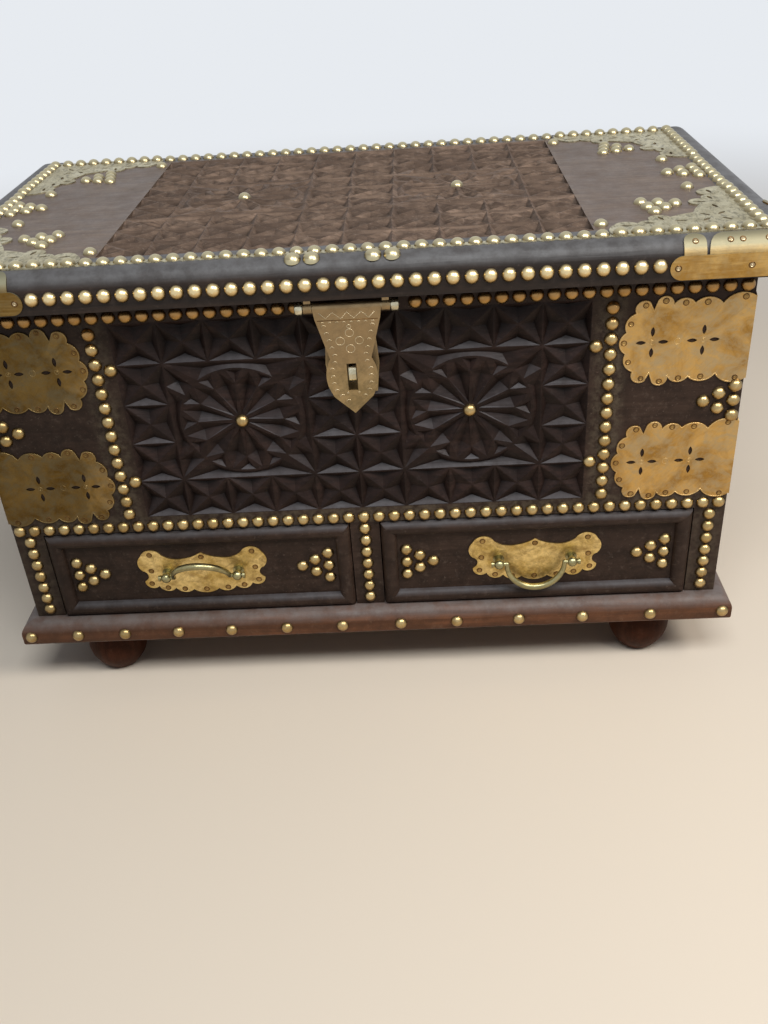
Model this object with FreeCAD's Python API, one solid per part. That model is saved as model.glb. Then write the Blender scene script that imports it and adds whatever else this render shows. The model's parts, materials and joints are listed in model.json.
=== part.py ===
"""Arabic dowry chest: a small wooden chest with a hinged lid, two drawers and brass fittings.

Millimetres, +Z up, +X to the right as one faces the chest, +Y to its back.
The origin is on the surface that the chest stands on, under the middle of its overall box.
"""

import FreeCAD, Part
import math
import os

V = FreeCAD.Vector

# Case
case_width = 500.0
case_depth = 272.0
case_height = 242.0
case_board = 12.0
floor_board = 8.0
drawer_bay_height = 71.5
stile_width = 21.0
divider_width = 20.6

# Feet
foot_height = 43.0
foot_diameter = 45.0
foot_flat_diameter = 24.0
foot_neck_diameter = 27.0
foot_inset_side = 47.0
foot_inset_front = 22.0
foot_tenon_diameter = 13.0
foot_tenon_length = 12.0
foot_tenon_clearance = 0.1

# Plinth
plinth_height = 19.0
plinth_overhang = 11.5
plinth_strip_cover = 14.0
plinth_top_round = 9.5
plinth_bottom_round = 3.0
plinth_stud_height = 8.2
plinth_stud_inset = 7.0

# Lid
lid_gap = 0.5
lid_height = 24.5
lid_overhang = 21.5
lid_round = 12.0
lid_back_round = 6.0
lid_moulding_width = 27.0
lid_back_moulding_width = 20.0
lid_board_thickness = 14.0

# Carved fields
panel_thickness = 6.0
front_panel_foot_margin = 12.0
front_panel_head_margin = 15.5
front_panel_column_gap = 7.95
lid_panel_width = 302.0
lid_panel_back_margin = 3.5
rosette_spacing = 150.0

# Dome-headed nails
stud_diameter = 9.1
stud_height = 3.6
stud_shank_diameter = 1.8
stud_shank_length = 7.0
stud_pitch = 10.64
large_stud_diameter = 10.2

# Stud rows on the case front
row_end_inset = 5.3
row_above_bay = 4.3
row_below_top = 11.0
column_pitch = 10.27
column_end_gap = 10.8
column_plate_gap = 0.45
column_extra_inward = 9.3
column_extra_low = 25.6
column_extra_high = 108.6
stile_column_pitch = 9.95
stile_column_foot = 6.6
stile_column_head = 5.2
triangle_pitch = 10.6
triangle_step = 9.6
case_triangle_inset = 5.0

# Stud rows on the lid
lid_row_side_inset = 22.1
lid_row_front_inset = 17.0
lid_row_back_inset = 13.9
lid_front_row_pitch = 10.9
lid_front_row_height = 9.7
lid_front_row_strap_gap = 1.15

# Brass sheet
sheet = 0.9
corner_plate_row_gap = 0.1
corner_plate_spacing = 26.0
corner_plate_reach_share = 2.7023

# Lid corner straps
strap_length = 81.5
strap_height = 14.5
strap_clearance = 0.1
strap_lobe_width = 12.9
strap_lobe_start = 7.4
strap_flange_start = 22.0
strap_flange_rise = 12.0
strap_top_width = 9.5
strap_below_round_share = 0.8

# Pierced corner plates on the lid
fret_length = 93.0
fret_depth = 92.0
fret_edge = 4.8
fret_thickness = 0.8
fret_slot_length = 8.0
fret_slot_width = 2.4
fret_triangle_lean = 17.0

# Hasp
hasp_offset = 1.0
hasp_bar_forward = 11.0
hasp_bar_below_lid = 8.0
hasp_bar_diameter = 4.0
hasp_barrel_diameter = 7.2
hasp_barrel_half_length = 20.9
hasp_running_clearance = 0.05
hasp_thickness = 1.2
hasp_lean = 4.6
hasp_eye_width = 5.2
hasp_eye_diameter = 7.6
hasp_eye_shank = 4.2
hasp_end_play = 0.25
hasp_knob_length = 5.2
hasp_knob_diameter = 8.8
hasp_knob_edge = 1.3
hasp_tip_drop = 73.3
hasp_slot_top = 37.3
hasp_slot_height = 19.0
hasp_slot_width = 6.2
hasp_pair_half_spacing = 5.6
hasp_pair_inset = 7.2
back_plate_top_half_width = 15.0
back_plate_half_width = 17.2
back_plate_drop_top = 12.0
back_plate_drop_wide = 42.0
back_plate_drop_foot = 62.0
staple_strap = 1.9
staple_clearance = 0.4
staple_sink = 4.0
staple_side_play = 0.8
staple_end_play = 1.7

# Lid hinges
hinge_spacing = 300.0
hinge_width = 36.0
hinge_leaf_height = 21.0
hinge_leaf = 1.2
hinge_barrel_diameter = 6.4
hinge_pin_diameter = 3.0
hinge_running_clearance = 0.05
hinge_end_play = 0.2
hinge_seat_clearance = 0.1

# Drawers
drawer_side_clearance = 0.6
drawer_top_clearance = 0.8
drawer_under_clearance = 0.3
drawer_back_clearance = 6.0
drawer_front_thickness = 12.0
drawer_side_thickness = 8.0
drawer_side_drop = 18.4
drawer_bottom_thickness = 4.0
drawer_bottom_rise = 3.0
drawer_face_recess = 1.0
drawer_moulding_width = 11.0
drawer_moulding_height = 5.0
drawer_triangle_inset = 6.2
guide_height = 20.0

# Drawer handles
handle_ear_reach = 20.7
handle_plate_margin = 5.7
handle_post_spacing = 51.6
handle_post_foot_diameter = 8.0
handle_post_foot_height = 1.4
handle_post_neck_diameter = 4.6
handle_post_head_diameter = 7.4
handle_pivot_forward = 8.2
bail_pin_diameter = 3.0
bail_running_clearance = 0.05
bail_drop = 21.0
bail_end_diameter = 3.2
bail_middle_diameter = 5.0
bail_cap_diameter = 4.6
bail_cap_length = 1.6
bail_ring_count = 9
bail_end_gap = 0.25
bail_raised_angle = 145.0

# One overrun serves all cuts
overrun = 5.0

# Levels and faces that the sizes above give
plinth_bottom = foot_height
case_bottom = plinth_bottom + plinth_height
case_top = case_bottom + case_height
bay_top = case_bottom + drawer_bay_height
lid_bottom = case_top + lid_gap
lid_top = lid_bottom + lid_height
overall_depth = stud_height + lid_overhang + case_depth + hinge_barrel_diameter + hinge_seat_clearance
front_y = -overall_depth / 2 + stud_height + lid_overhang
back_y = front_y + case_depth
side_x = case_width / 2
lid_front_y = front_y - lid_overhang
lid_side_x = side_x + lid_overhang
hinge_radius = hinge_barrel_diameter / 2
hinge_y = back_y + hinge_radius + hinge_seat_clearance
hinge_z = case_top + lid_gap / 2
hasp_y = front_y - hasp_bar_forward
hasp_z = lid_bottom - hasp_bar_below_lid
drawer_half_opening = side_x - stile_width
drawer_inner_x = divider_width / 2 + drawer_side_clearance
drawer_outer_x = drawer_half_opening - drawer_side_clearance
drawer_centre_x = (drawer_inner_x + drawer_outer_x) / 2
drawer_bottom_z = case_bottom + drawer_under_clearance
drawer_top_z = bay_top - drawer_top_clearance
drawer_face_y = front_y + drawer_face_recess
handle_z = (drawer_bottom_z + drawer_top_z) / 2
handle_y = drawer_face_y - handle_pivot_forward
stud_radius = stud_diameter / 2
bottom_row_z = bay_top + row_above_bay
top_row_z = case_top - row_below_top
plate_zone_bottom = bottom_row_z + stud_radius + corner_plate_row_gap
plate_zone_top = top_row_z - stud_radius - corner_plate_row_gap
corner_plate_half_height = (plate_zone_top - plate_zone_bottom - corner_plate_spacing) / 4
corner_plate_reach = corner_plate_half_height * corner_plate_reach_share
column_half_spacing = side_x - corner_plate_reach - column_plate_gap - stud_radius
column_bottom_z = bottom_row_z + column_end_gap
column_top_z = top_row_z - column_end_gap
front_panel_width = 2 * (column_half_spacing - stud_radius - front_panel_column_gap)
front_panel_bottom = bay_top + front_panel_foot_margin
front_panel_height = case_top - front_panel_head_margin - front_panel_bottom
lid_panel_front_y = lid_front_y + lid_moulding_width
lid_panel_back_y = back_y - lid_back_moulding_width - lid_panel_back_margin
lid_row_half_width = lid_side_x - lid_row_side_inset
lid_row_front_y = lid_front_y + lid_row_front_inset
lid_row_back_y = back_y - lid_row_back_inset
lid_row_depth = lid_row_back_y - lid_row_front_y
lid_row_middle_y = (lid_row_front_y + lid_row_back_y) / 2
strap_nose_x = lid_side_x + strap_clearance + sheet - strap_length
staple_width = hasp_slot_width - 2 * staple_side_play
staple_height = hasp_slot_height - 2 * staple_end_play
handle_plate_width = handle_post_spacing + 2 * handle_ear_reach
handle_plate_height = drawer_top_z - drawer_bottom_z - 2 * (drawer_moulding_width + handle_plate_margin)

parts = {}


def add(node, *shapes):
    """Keeps shapes as the solids of one node."""
    solids = [solid for shape in shapes for solid in shape.Solids]
    parts[node] = solids


def box(x0, x1, y0, y1, z0, z1):
    """A box between two corners."""
    return Part.makeBox(x1 - x0, y1 - y0, z1 - z0, V(x0, y0, z0))


def rod(radius, start, end):
    """A cylinder between two points."""
    along = end - start
    return Part.makeCylinder(radius, along.Length, start, along)


def path(points):
    """A closed wire. A point is a corner, and a pair of points is an arc's middle and its end."""
    edges = []
    here = points[0]
    for step in points[1:] + [points[0]]:
        if isinstance(step, tuple):
            edges.append(Part.Arc(here, step[0], step[1]).toShape())
            here = step[1]
        else:
            if (step - here).Length > Part.Precision.confusion():
                edges.append(Part.LineSegment(here, step).toShape())
            here = step
    return Part.Wire(edges)


def slab(points, along):
    """A flat outline drawn out along a vector."""
    return Part.Face(path(points)).extrude(along)


def mirrored(shape):
    """The same piece on the other side of the chest."""
    return shape.mirror(V(0, 0, 0), V(1, 0, 0))


def both_sides(shape):
    """A piece and its twin."""
    return [shape, mirrored(shape)]


def moved(shape, x, y, z):
    """A copy of a piece at another place."""
    twin = shape.copy()
    twin.translate(V(x, y, z))
    return twin


def lens(centre, along, across, out):
    """A pointed oval through a sheet, from half its length, half its width and the sheet's thickness.

    It starts one thickness below the sheet and ends one above it.
    """
    start = centre - out
    end = centre + 2 * out
    tip = start + along
    tail = start - along
    outline = [tip, (start + across, tail), (start - across, tip)]
    return slab(outline, end - start)


# Studs

def make_stud(diameter):
    """A domed head on a short shank, its seat at the origin and its crown towards +Z."""
    radius = diameter / 2
    shank = stud_shank_diameter / 2
    ball = (radius * radius + stud_height * stud_height) / (2 * stud_height)
    lift = radius * math.sqrt(1 / 2)
    shoulder = V(lift, 0, stud_height - ball + math.sqrt(ball * ball - lift * lift))
    profile = [
        V(0, 0, stud_height),
        (shoulder, V(radius, 0, 0)),
        V(shank, 0, 0),
        V(shank, 0, shank - stud_shank_length),
        V(0, 0, -stud_shank_length),
    ]
    return Part.Face(path(profile)).revolve(V(0, 0, 0), V(0, 0, 1), 360)


STUD = make_stud(stud_diameter)
LARGE_STUD = make_stud(large_stud_diameter)


def stud(x, y, z, out, form=STUD):
    """A stud whose seat is at a point and whose crown looks along a direction."""
    twin = form.copy()
    twin.Placement = FreeCAD.Placement(V(x, y, z), FreeCAD.Rotation(V(0, 0, 1), out))
    return twin


def row_places(start, end, pitch):
    """Evenly spaced places at about a pitch, both ends among them."""
    gaps = max(1, round((end - start) / pitch))
    return [start + (end - start) * i / gaps for i in range(gaps + 1)]


def triangle_places():
    """Six places of a 3-2-1 triangle: how far from its base towards its apex, and along the base."""
    places = []
    for rank in range(3):
        for i in range(3 - rank):
            places.append((rank * triangle_step, (i - (2 - rank) / 2) * triangle_pitch))
    return places


FRONT = V(0, -1, 0)
UP = V(0, 0, 1)


# Feet and plinth

def make_foot():
    """A turned bun foot with a round tenon that goes up into the base board."""
    radius = foot_diameter / 2
    neck = foot_neck_diameter / 2
    flat = foot_flat_diameter / 2
    tenon = foot_tenon_diameter / 2
    belly = Part.BSplineCurve()
    belly.interpolate([V(flat, 0, 0), V(radius, 0, foot_height / 2), V(neck, 0, foot_height)])
    rest = [
        V(neck, 0, foot_height),
        V(tenon, 0, foot_height),
        V(tenon, 0, foot_height + foot_tenon_length),
        V(0, 0, foot_height + foot_tenon_length),
        V(0, 0, 0),
        V(flat, 0, 0),
    ]
    edges = [belly.toShape()] + [Part.LineSegment(a, b).toShape() for a, b in zip(rest, rest[1:])]
    return Part.Face(Part.Wire(edges)).revolve(V(0, 0, 0), V(0, 0, 1), 360)


def foot_places():
    """The four feet's axes."""
    x = side_x - foot_inset_side
    return [(s * x, y) for y in (front_y + foot_inset_front, back_y - foot_inset_front) for s in (-1, 1)]


def make_feet():
    foot = make_foot()
    add("feet", *[moved(foot, x, y, 0) for x, y in foot_places()])


def tenon_holes():
    """Blind holes for the feet's tenons."""
    radius = foot_tenon_diameter / 2 + foot_tenon_clearance
    depth = foot_tenon_length + foot_tenon_clearance
    return [Part.makeCylinder(radius, depth, V(x, y, plinth_bottom)) for x, y in foot_places()]


def make_base_board():
    """The board inside the plinth strips, which the drawers run on."""
    x = side_x - plinth_strip_cover
    board = box(-x, x, front_y + plinth_strip_cover, back_y - plinth_strip_cover, plinth_bottom, case_bottom)
    for hole in tenon_holes():
        board = board.cut(hole)
    add("base_board", board)


def plinth_profile():
    """The strip's section: how far it stands out from the case's face, and its height."""
    out = plinth_overhang
    top = case_bottom
    low = plinth_bottom
    bend = plinth_top_round
    foot = plinth_bottom_round
    share = 1 - math.sqrt(1 / 2)
    return [
        (-plinth_strip_cover, top),
        (out - bend, top),
        ((out - bend * share, top - bend * share), (out, top - bend)),
        (out, low + foot),
        ((out - foot * share, low + foot * share), (out - foot, low)),
        (-plinth_strip_cover, low),
    ]


def section(profile, place):
    """Puts a section's points in space, arcs among them."""
    placed = []
    for step in profile:
        if isinstance(step[0], tuple):
            placed.append((place(*step[0]), place(*step[1])))
        else:
            placed.append(place(*step))
    return placed


def mitre_wedge(low, high, inner, outer, along_front):
    """A prism that cuts the front strip's ends, or the right strip's front end, at 45 degrees."""
    z = low - overrun
    if along_front:
        corners = [
            V(-side_x - outer, front_y - outer, z),
            V(side_x + outer, front_y - outer, z),
            V(side_x + inner, front_y - inner, z),
            V(-side_x - inner, front_y - inner, z),
        ]
    else:
        corners = [
            V(side_x + outer, front_y - outer, z),
            V(side_x + outer, back_y, z),
            V(side_x + inner, back_y, z),
            V(side_x + inner, front_y - inner, z),
        ]
    return slab(corners, V(0, 0, high - low + 2 * overrun))


def make_plinth():
    """Front and side strips meet at mitres, and a plain back strip lies flush between the side strips."""
    profile = plinth_profile()
    reach = plinth_overhang
    cover = -plinth_strip_cover
    outline = section(profile, lambda out, z: V(-side_x - reach, front_y - out, z))
    front = slab(outline, V(case_width + 2 * reach, 0, 0))
    front = front.common(mitre_wedge(plinth_bottom, case_bottom, cover, reach, True))
    add("plinth_front", clear_of_tenons(front))
    outline = section(profile, lambda out, z: V(side_x + out, front_y - reach, z))
    side = slab(outline, V(0, case_depth + reach, 0))
    side = side.common(mitre_wedge(plinth_bottom, case_bottom, cover, reach, False))
    add("plinth_right", clear_of_tenons(side))
    add("plinth_left", clear_of_tenons(mirrored(side)))
    half = side_x - plinth_strip_cover
    back = box(-half, half, back_y - plinth_strip_cover, back_y, plinth_bottom, case_bottom)
    add("plinth_back", clear_of_tenons(back))


def clear_of_tenons(strip):
    """A plinth strip with room for the feet's tenons."""
    for hole in tenon_holes():
        strip = strip.cut(hole)
    return strip


# Case

def make_case():
    """Boards of the case. The front and back boards cover the side boards' ends."""
    inner_x = side_x - case_board
    inner_front = front_y + case_board
    inner_back = back_y - case_board
    side = box(inner_x, side_x, inner_front, inner_back, case_bottom, case_top)
    add("side_board_right", side)
    add("side_board_left", mirrored(side))
    add("back_board", box(-side_x, side_x, inner_back, back_y, case_bottom, case_top))
    front = box(-side_x, side_x, front_y, inner_front, bay_top, case_top)
    pocket = box(
        -front_panel_width / 2,
        front_panel_width / 2,
        front_y - overrun,
        front_y + panel_thickness,
        front_panel_bottom,
        front_panel_bottom + front_panel_height,
    )
    add("front_board", front.cut(pocket))
    add("chest_floor", box(-inner_x, inner_x, inner_front, inner_back, bay_top, bay_top + floor_board))
    half = divider_width / 2
    add("drawer_divider", box(-half, half, front_y, inner_back, case_bottom, bay_top))
    stile = box(drawer_half_opening, side_x, front_y, inner_front, case_bottom, bay_top)
    add("drawer_stiles", *both_sides(stile))
    guide_top = case_bottom + guide_height
    guide = box(drawer_half_opening, inner_x, inner_front, inner_back, case_bottom, guide_top)
    add("drawer_guides", *both_sides(guide))


def make_front_panel():
    """The carved field of the front, let into the front board."""
    half = front_panel_width / 2
    bottom = front_panel_bottom
    top = bottom + front_panel_height
    add("front_carved_panel", box(-half, half, front_y, front_y + panel_thickness, bottom, top))


def make_case_studs():
    """Rows along the top and bottom of the front, columns beside the carving and at the drawer level."""
    hidden = hasp_barrel_half_length + hasp_eye_width + hasp_knob_length + hasp_end_play
    studs = []
    half = side_x - row_end_inset
    for x in row_places(-half, half, stud_pitch):
        studs.append(stud(x, front_y, bottom_row_z, FRONT))
        if abs(x - hasp_offset) > hidden:
            studs.append(stud(x, front_y, top_row_z, FRONT))
    for z in row_places(column_bottom_z, column_top_z, column_pitch):
        studs += [stud(s * column_half_spacing, front_y, z, FRONT) for s in (-1, 1)]
    stile_x = drawer_half_opening + stile_width / 2
    for z in row_places(case_bottom + stile_column_foot, bay_top - stile_column_head, stile_column_pitch):
        studs += [stud(s * stile_x, front_y, z, FRONT) for s in (-1, 0, 1)]
    add("case_row_studs", *studs)


def case_accent_places():
    """Single studs beside the columns, in the rosettes' middles and in the triangles at the corners.

    Each place is x, z and how far the seat stands out: the ends of a triangle's base lie on the plates.
    """
    places = []
    panel_middle = front_panel_bottom + front_panel_height / 2
    triangle_z = (plate_zone_bottom + plate_zone_top) / 2
    extra_x = column_half_spacing - column_extra_inward
    for s in (-1, 1):
        places.append((s * extra_x, column_bottom_z + column_extra_low, 0))
        places.append((s * extra_x, column_bottom_z + column_extra_high, 0))
        places.append((s * rosette_spacing / 2, panel_middle, 0))
        for inward, along in triangle_places():
            seat = sheet if inward == 0 and along != 0 else 0
            places.append((s * (side_x - case_triangle_inset - inward), triangle_z + along, seat))
    return places


# Places along the plinth's row, as shares of its half length: nailed by eye, wider apart to the right
plinth_row_shares = (-1, -0.861, -0.722, -0.564, -0.408, -0.246, -0.084, 0.085, 0.246, 0.424, 0.605, 0.797, 1)


def make_accent_studs():
    add("case_accent_studs", *[stud(x, front_y - seat, z, FRONT) for x, z, seat in case_accent_places()])
    half = side_x + plinth_overhang - plinth_stud_inset
    y = front_y - plinth_overhang
    z = plinth_bottom + plinth_stud_height
    add("plinth_studs", *[stud(share * half, y, z, FRONT) for share in plinth_row_shares])


# Corner plates on the case. A place is a share of the reach inward from the corner and a share of the
# half height, and a lobe of the scalloped edge is an arc's middle and its end.

plate_start_share = 0.92
cross_shares = (0.356, 0.748)
# A petal's middle, its tip and half its width
petal_shares = (0.086, 0.126, 0.016)
plate_lobe_shares = [
    ((0.075, 1.0), (0.235, 0.79)),
    ((0.35, 0.94), (0.445, 0.83)),
    ((0.52, 0.94), (0.605, 0.81)),
    ((0.665, 1.0), (0.728, 0.90)),
    (0.752, 0.71),
    (0.782, 0.88),
    ((0.825, 0.92), (0.885, 0.65)),
    ((0.95, 0.5), (0.95, 0.24)),
]


def mirrored_back(start, steps, flip):
    """Steps of the other half of an outline, walked back from its far end to its start."""
    ends = [start] + [step[1] if isinstance(step[0], tuple) else step for step in steps]
    back = []
    for step, end in zip(reversed(steps), reversed(ends[:-1])):
        if isinstance(step[0], tuple):
            back.append((flip(step[0]), flip(end)))
        else:
            back.append(flip(end))
    return back


def corner_plate_leaf(place, out):
    """One leaf of a corner plate, which starts at the corner's edge."""
    start = (0, plate_start_share)
    steps = [start] + plate_lobe_shares
    nose = (1.0, 0)
    far = plate_lobe_shares[-1][1]
    steps.append((nose, (far[0], -far[1])))
    steps += mirrored_back(start, plate_lobe_shares, lambda p: (p[0], -p[1]))

    def at(across_share, up_share):
        return place(across_share * corner_plate_reach, up_share * corner_plate_half_height)

    leaf = slab(section(steps, at), out)
    for cross_share in cross_shares:
        for turn in range(4):
            leaf = leaf.cut(petal(place, cross_share, turn, out))
    return leaf


def petal(place, cross_share, turn, out):
    """One of the four pointed holes of a cross."""
    angle = math.radians(90 * turn)
    cos, sin = math.cos(angle), math.sin(angle)
    middle_share, tip_share, side_share = petal_shares

    def at(out_share, off_share):
        across = cross_share + out_share * cos - off_share * sin
        return place(across * corner_plate_reach, (out_share * sin + off_share * cos) * corner_plate_reach)

    centre = at(middle_share, 0)
    return lens(centre, at(tip_share, 0) - centre, at(middle_share, side_share) - centre, out)


def corner_plate(z):
    """A plate wrapped round the right front corner of the case, its middle at a height."""
    front = corner_plate_leaf(lambda reach, up: V(side_x - reach, front_y, z + up), V(0, -sheet, 0))
    side = corner_plate_leaf(lambda reach, up: V(side_x, front_y + reach, z + up), V(sheet, 0, 0))
    half = plate_start_share * corner_plate_half_height
    bend = box(side_x, side_x + sheet, front_y - sheet, front_y, z - half, z + half)
    return front.fuse([bend, side]).removeSplitter()


def make_corner_plates():
    upper = corner_plate(plate_zone_top - corner_plate_half_height)
    lower = corner_plate(plate_zone_bottom + corner_plate_half_height)
    add("corner_plates_upper", *both_sides(upper))
    add("corner_plates_lower", *both_sides(lower))


# Lid

def lid_profile(out, bend, width):
    """A lid moulding's section: how far it stands out from the case's face, and its height."""
    share = 1 - math.sqrt(1 / 2)
    return [
        (out - width, lid_top),
        (out - bend, lid_top),
        ((out - bend * share, lid_top - bend * share), (out, lid_top - bend)),
        (out, lid_bottom),
        (out - width, lid_bottom),
    ]


def make_lid_mouldings():
    """Front and side strips meet at mitres, and the back strip lies between the side strips."""
    out = lid_overhang
    inner = out - lid_moulding_width
    profile = lid_profile(out, lid_round, lid_moulding_width)
    outline = section(profile, lambda o, z: V(-lid_side_x, front_y - o, z))
    front = slab(outline, V(2 * lid_side_x, 0, 0))
    front = front.common(mitre_wedge(lid_bottom, lid_top, inner, out, True))
    for hole in eye_holes():
        front = front.cut(hole)
    add("lid_moulding_front", front)
    outline = section(profile, lambda o, z: V(side_x + o, lid_front_y, z))
    side = slab(outline, V(0, back_y - lid_front_y, 0))
    side = side.common(mitre_wedge(lid_bottom, lid_top, inner, out, False))
    add("lid_moulding_right", side)
    add("lid_moulding_left", mirrored(side))
    half = lid_side_x - lid_moulding_width
    profile = lid_profile(0, lid_back_round, lid_back_moulding_width)
    outline = section(profile, lambda o, z: V(-half, back_y + o, z))
    add("lid_moulding_back", slab(outline, V(2 * half, 0, 0)))


def make_lid_board():
    """The lid's board, flush with the mouldings' tops, with a pocket for the carved field."""
    half = lid_side_x - lid_moulding_width
    y0 = lid_front_y + lid_moulding_width
    y1 = back_y - lid_back_moulding_width
    board = box(-half, half, y0, y1, lid_top - lid_board_thickness, lid_top)
    x = lid_panel_width / 2
    p0 = lid_panel_front_y
    p1 = lid_panel_back_y
    add("lid_carved_panel", box(-x, x, p0, p1, lid_top - panel_thickness, lid_top))
    add("lid_board", board.cut(box(-x, x, p0 - overrun, p1, lid_top - panel_thickness, lid_top + overrun)))


def on_fret(x, y):
    """Whether a place on the lid's top lies on a pierced corner plate."""
    across = lid_row_half_width + fret_edge - abs(x)
    back = lid_row_depth / 2 + fret_edge - abs(y - lid_row_middle_y)
    edge = fret_edge + stud_diameter / 2
    return (across <= fret_length and back <= edge) or (back <= fret_depth and across <= edge)


def lid_top_stud(x, y):
    """A stud on the lid's top or on the plate that lies there."""
    return stud(x, y, lid_top + (fret_thickness if on_fret(x, y) else 0), UP)


def make_lid_studs():
    """The row round the lid's top and the row along its front edge."""
    studs = []
    for x in row_places(-lid_row_half_width, lid_row_half_width, stud_pitch):
        studs += [lid_top_stud(x, y) for y in (lid_row_front_y, lid_row_back_y)]
    for y in row_places(lid_row_front_y, lid_row_back_y, stud_pitch)[1:-1]:
        studs += [lid_top_stud(s * lid_row_half_width, y) for s in (-1, 1)]
    add("lid_top_studs", *studs)
    z = lid_bottom + lid_front_row_height
    half = strap_nose_x - lid_front_row_strap_gap - stud_radius
    places = row_places(-half, half, lid_front_row_pitch)
    add("lid_front_studs", *[stud(x, lid_front_y, z, FRONT) for x in places])


# Places of the lid's loose studs, as shares of the stud rows' half width and half depth
fret_triangle_shares = (0.797, 0.55)
front_single_shares = (0.628, 0.84)
side_single_shares = (0.904, 0.29)
side_triangle_share = 0.963


def make_lid_accent_studs():
    """Triangles and single studs in the lid's corners, and pairs over the eyes' clinched ends."""
    studs = []
    lean_cos = math.cos(math.radians(fret_triangle_lean))
    lean_sin = math.sin(math.radians(fret_triangle_lean))
    wide = lid_row_half_width
    deep = lid_row_depth / 2
    for s in (-1, 1):
        studs.append(lid_top_stud(s * rosette_spacing / 2, lid_row_middle_y))
        for inward, along in triangle_places():
            studs.append(lid_top_stud(s * (side_triangle_share * wide - inward), lid_row_middle_y + along))
        for b in (-1, 1):
            for across_share, back_share in (front_single_shares, side_single_shares):
                studs.append(lid_top_stud(s * across_share * wide, lid_row_middle_y + b * back_share * deep))
            for inward, along in triangle_places():
                x = s * (fret_triangle_shares[0] * wide + along * lean_cos - inward * lean_sin)
                y = lid_row_middle_y + b * (fret_triangle_shares[1] * deep + inward * lean_cos + along * lean_sin)
                studs.append(lid_top_stud(x, y))
    tilt = math.asin((lid_round - hasp_pair_inset) / lid_round)
    y = lid_front_y + hasp_pair_inset
    z = lid_top - lid_round + lid_round * math.cos(tilt)
    out = V(0, -math.sin(tilt), math.cos(tilt))
    for s in (-1, 1):
        eye = hasp_offset + s * eye_middle()
        studs += [stud(eye + t * hasp_pair_half_spacing, y, z, out, LARGE_STUD) for t in (-1, 1)]
    add("lid_accent_studs", *studs)


# Pierced corner plates on the lid. A place is a share of the length along an arm and a share of it
# across, and both arms have the same outline.

fret_lobe_shares = [
    ((1.02, 0.14), (0.97, 0.235)),
    ((0.9, 0.285), (0.82, 0.24)),
    ((0.785, 0.28), (0.73, 0.29)),
    ((0.67, 0.395), (0.59, 0.34)),
    ((0.53, 0.375), (0.42, 0.42)),
]
fret_slot_shares = [(0.9, 0.2, 10), (0.745, 0.233, 11), (0.655, 0.32, 76), (0.54, 0.25, 11), (0.375, 0.25, -45)]
fret_diagonal_shares = [(0.36, 0.36, 45), (0.245, 0.245, 45)]


def fret_plate():
    """An L-shaped plate for the right front corner of the lid's top, from the corner inward."""
    corner_x = lid_row_half_width + fret_edge
    corner_y = lid_row_front_y - fret_edge

    def at(inward_share, back_share):
        return V(corner_x - inward_share * fret_length, corner_y + back_share * fret_depth, lid_top)

    start = (1.0, 0)
    steps = [(0, 0), start] + fret_lobe_shares
    steps += mirrored_back(start, fret_lobe_shares, lambda p: (p[1], p[0]))
    plate = slab(section(steps, at), V(0, 0, fret_thickness))
    slots = fret_slot_shares + [(back, inward, 90 - turn) for inward, back, turn in fret_slot_shares]
    slots += fret_diagonal_shares
    out = V(0, 0, fret_thickness)
    for inward, back, turn in slots:
        angle = math.radians(turn)
        along = V(-math.cos(angle), math.sin(angle), 0) * (fret_slot_length / 2)
        across = V(math.sin(angle), math.cos(angle), 0) * (fret_slot_width / 2)
        plate = plate.cut(lens(at(inward, back), along, across, out))
    return plate


def make_fret_plates():
    """Four plates, mirrored from one."""
    plate = fret_plate()
    back = plate.mirror(V(0, lid_row_middle_y, 0), V(0, 1, 0))
    add("lid_fretwork_front", *both_sides(plate))
    add("lid_fretwork_back", *both_sides(back))


# Straps over the lid's front corners. Each has two equal legs, one along the front and one along the side.

def strap_flange():
    """The flat flange on the lid's front face, its inner end rounded."""
    end = lid_side_x + strap_clearance + sheet
    y = lid_front_y - strap_clearance
    low = lid_top - lid_round + strap_clearance - strap_height * strap_below_round_share
    high = low + strap_height
    middle = (low + high) / 2
    outline = [
        V(end, y, low),
        V(end, y, high),
        V(strap_nose_x + strap_height / 2, y, high),
        (V(strap_nose_x, y, middle), V(strap_nose_x + strap_height / 2, y, low)),
    ]
    return slab(outline, V(0, -sheet, 0))


def strap_band():
    """A sheet of the rounded edge's own curve, laid along the lid's front."""
    inner = lid_round + strap_clearance
    outer = inner + sheet
    sweep = math.acos((lid_round - strap_top_width) / lid_round)

    def at(radius, angle):
        y = lid_front_y + lid_round - radius * math.cos(angle)
        return V(strap_nose_x, y, lid_top - lid_round + radius * math.sin(angle))

    outline = [
        at(inner, 0),
        at(outer, 0),
        (at(outer, sweep / 2), at(outer, sweep)),
        at(inner, sweep),
        (at(inner, sweep / 2), at(inner, 0)),
    ]
    return slab(outline, V(strap_length + overrun, 0, 0))


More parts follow.
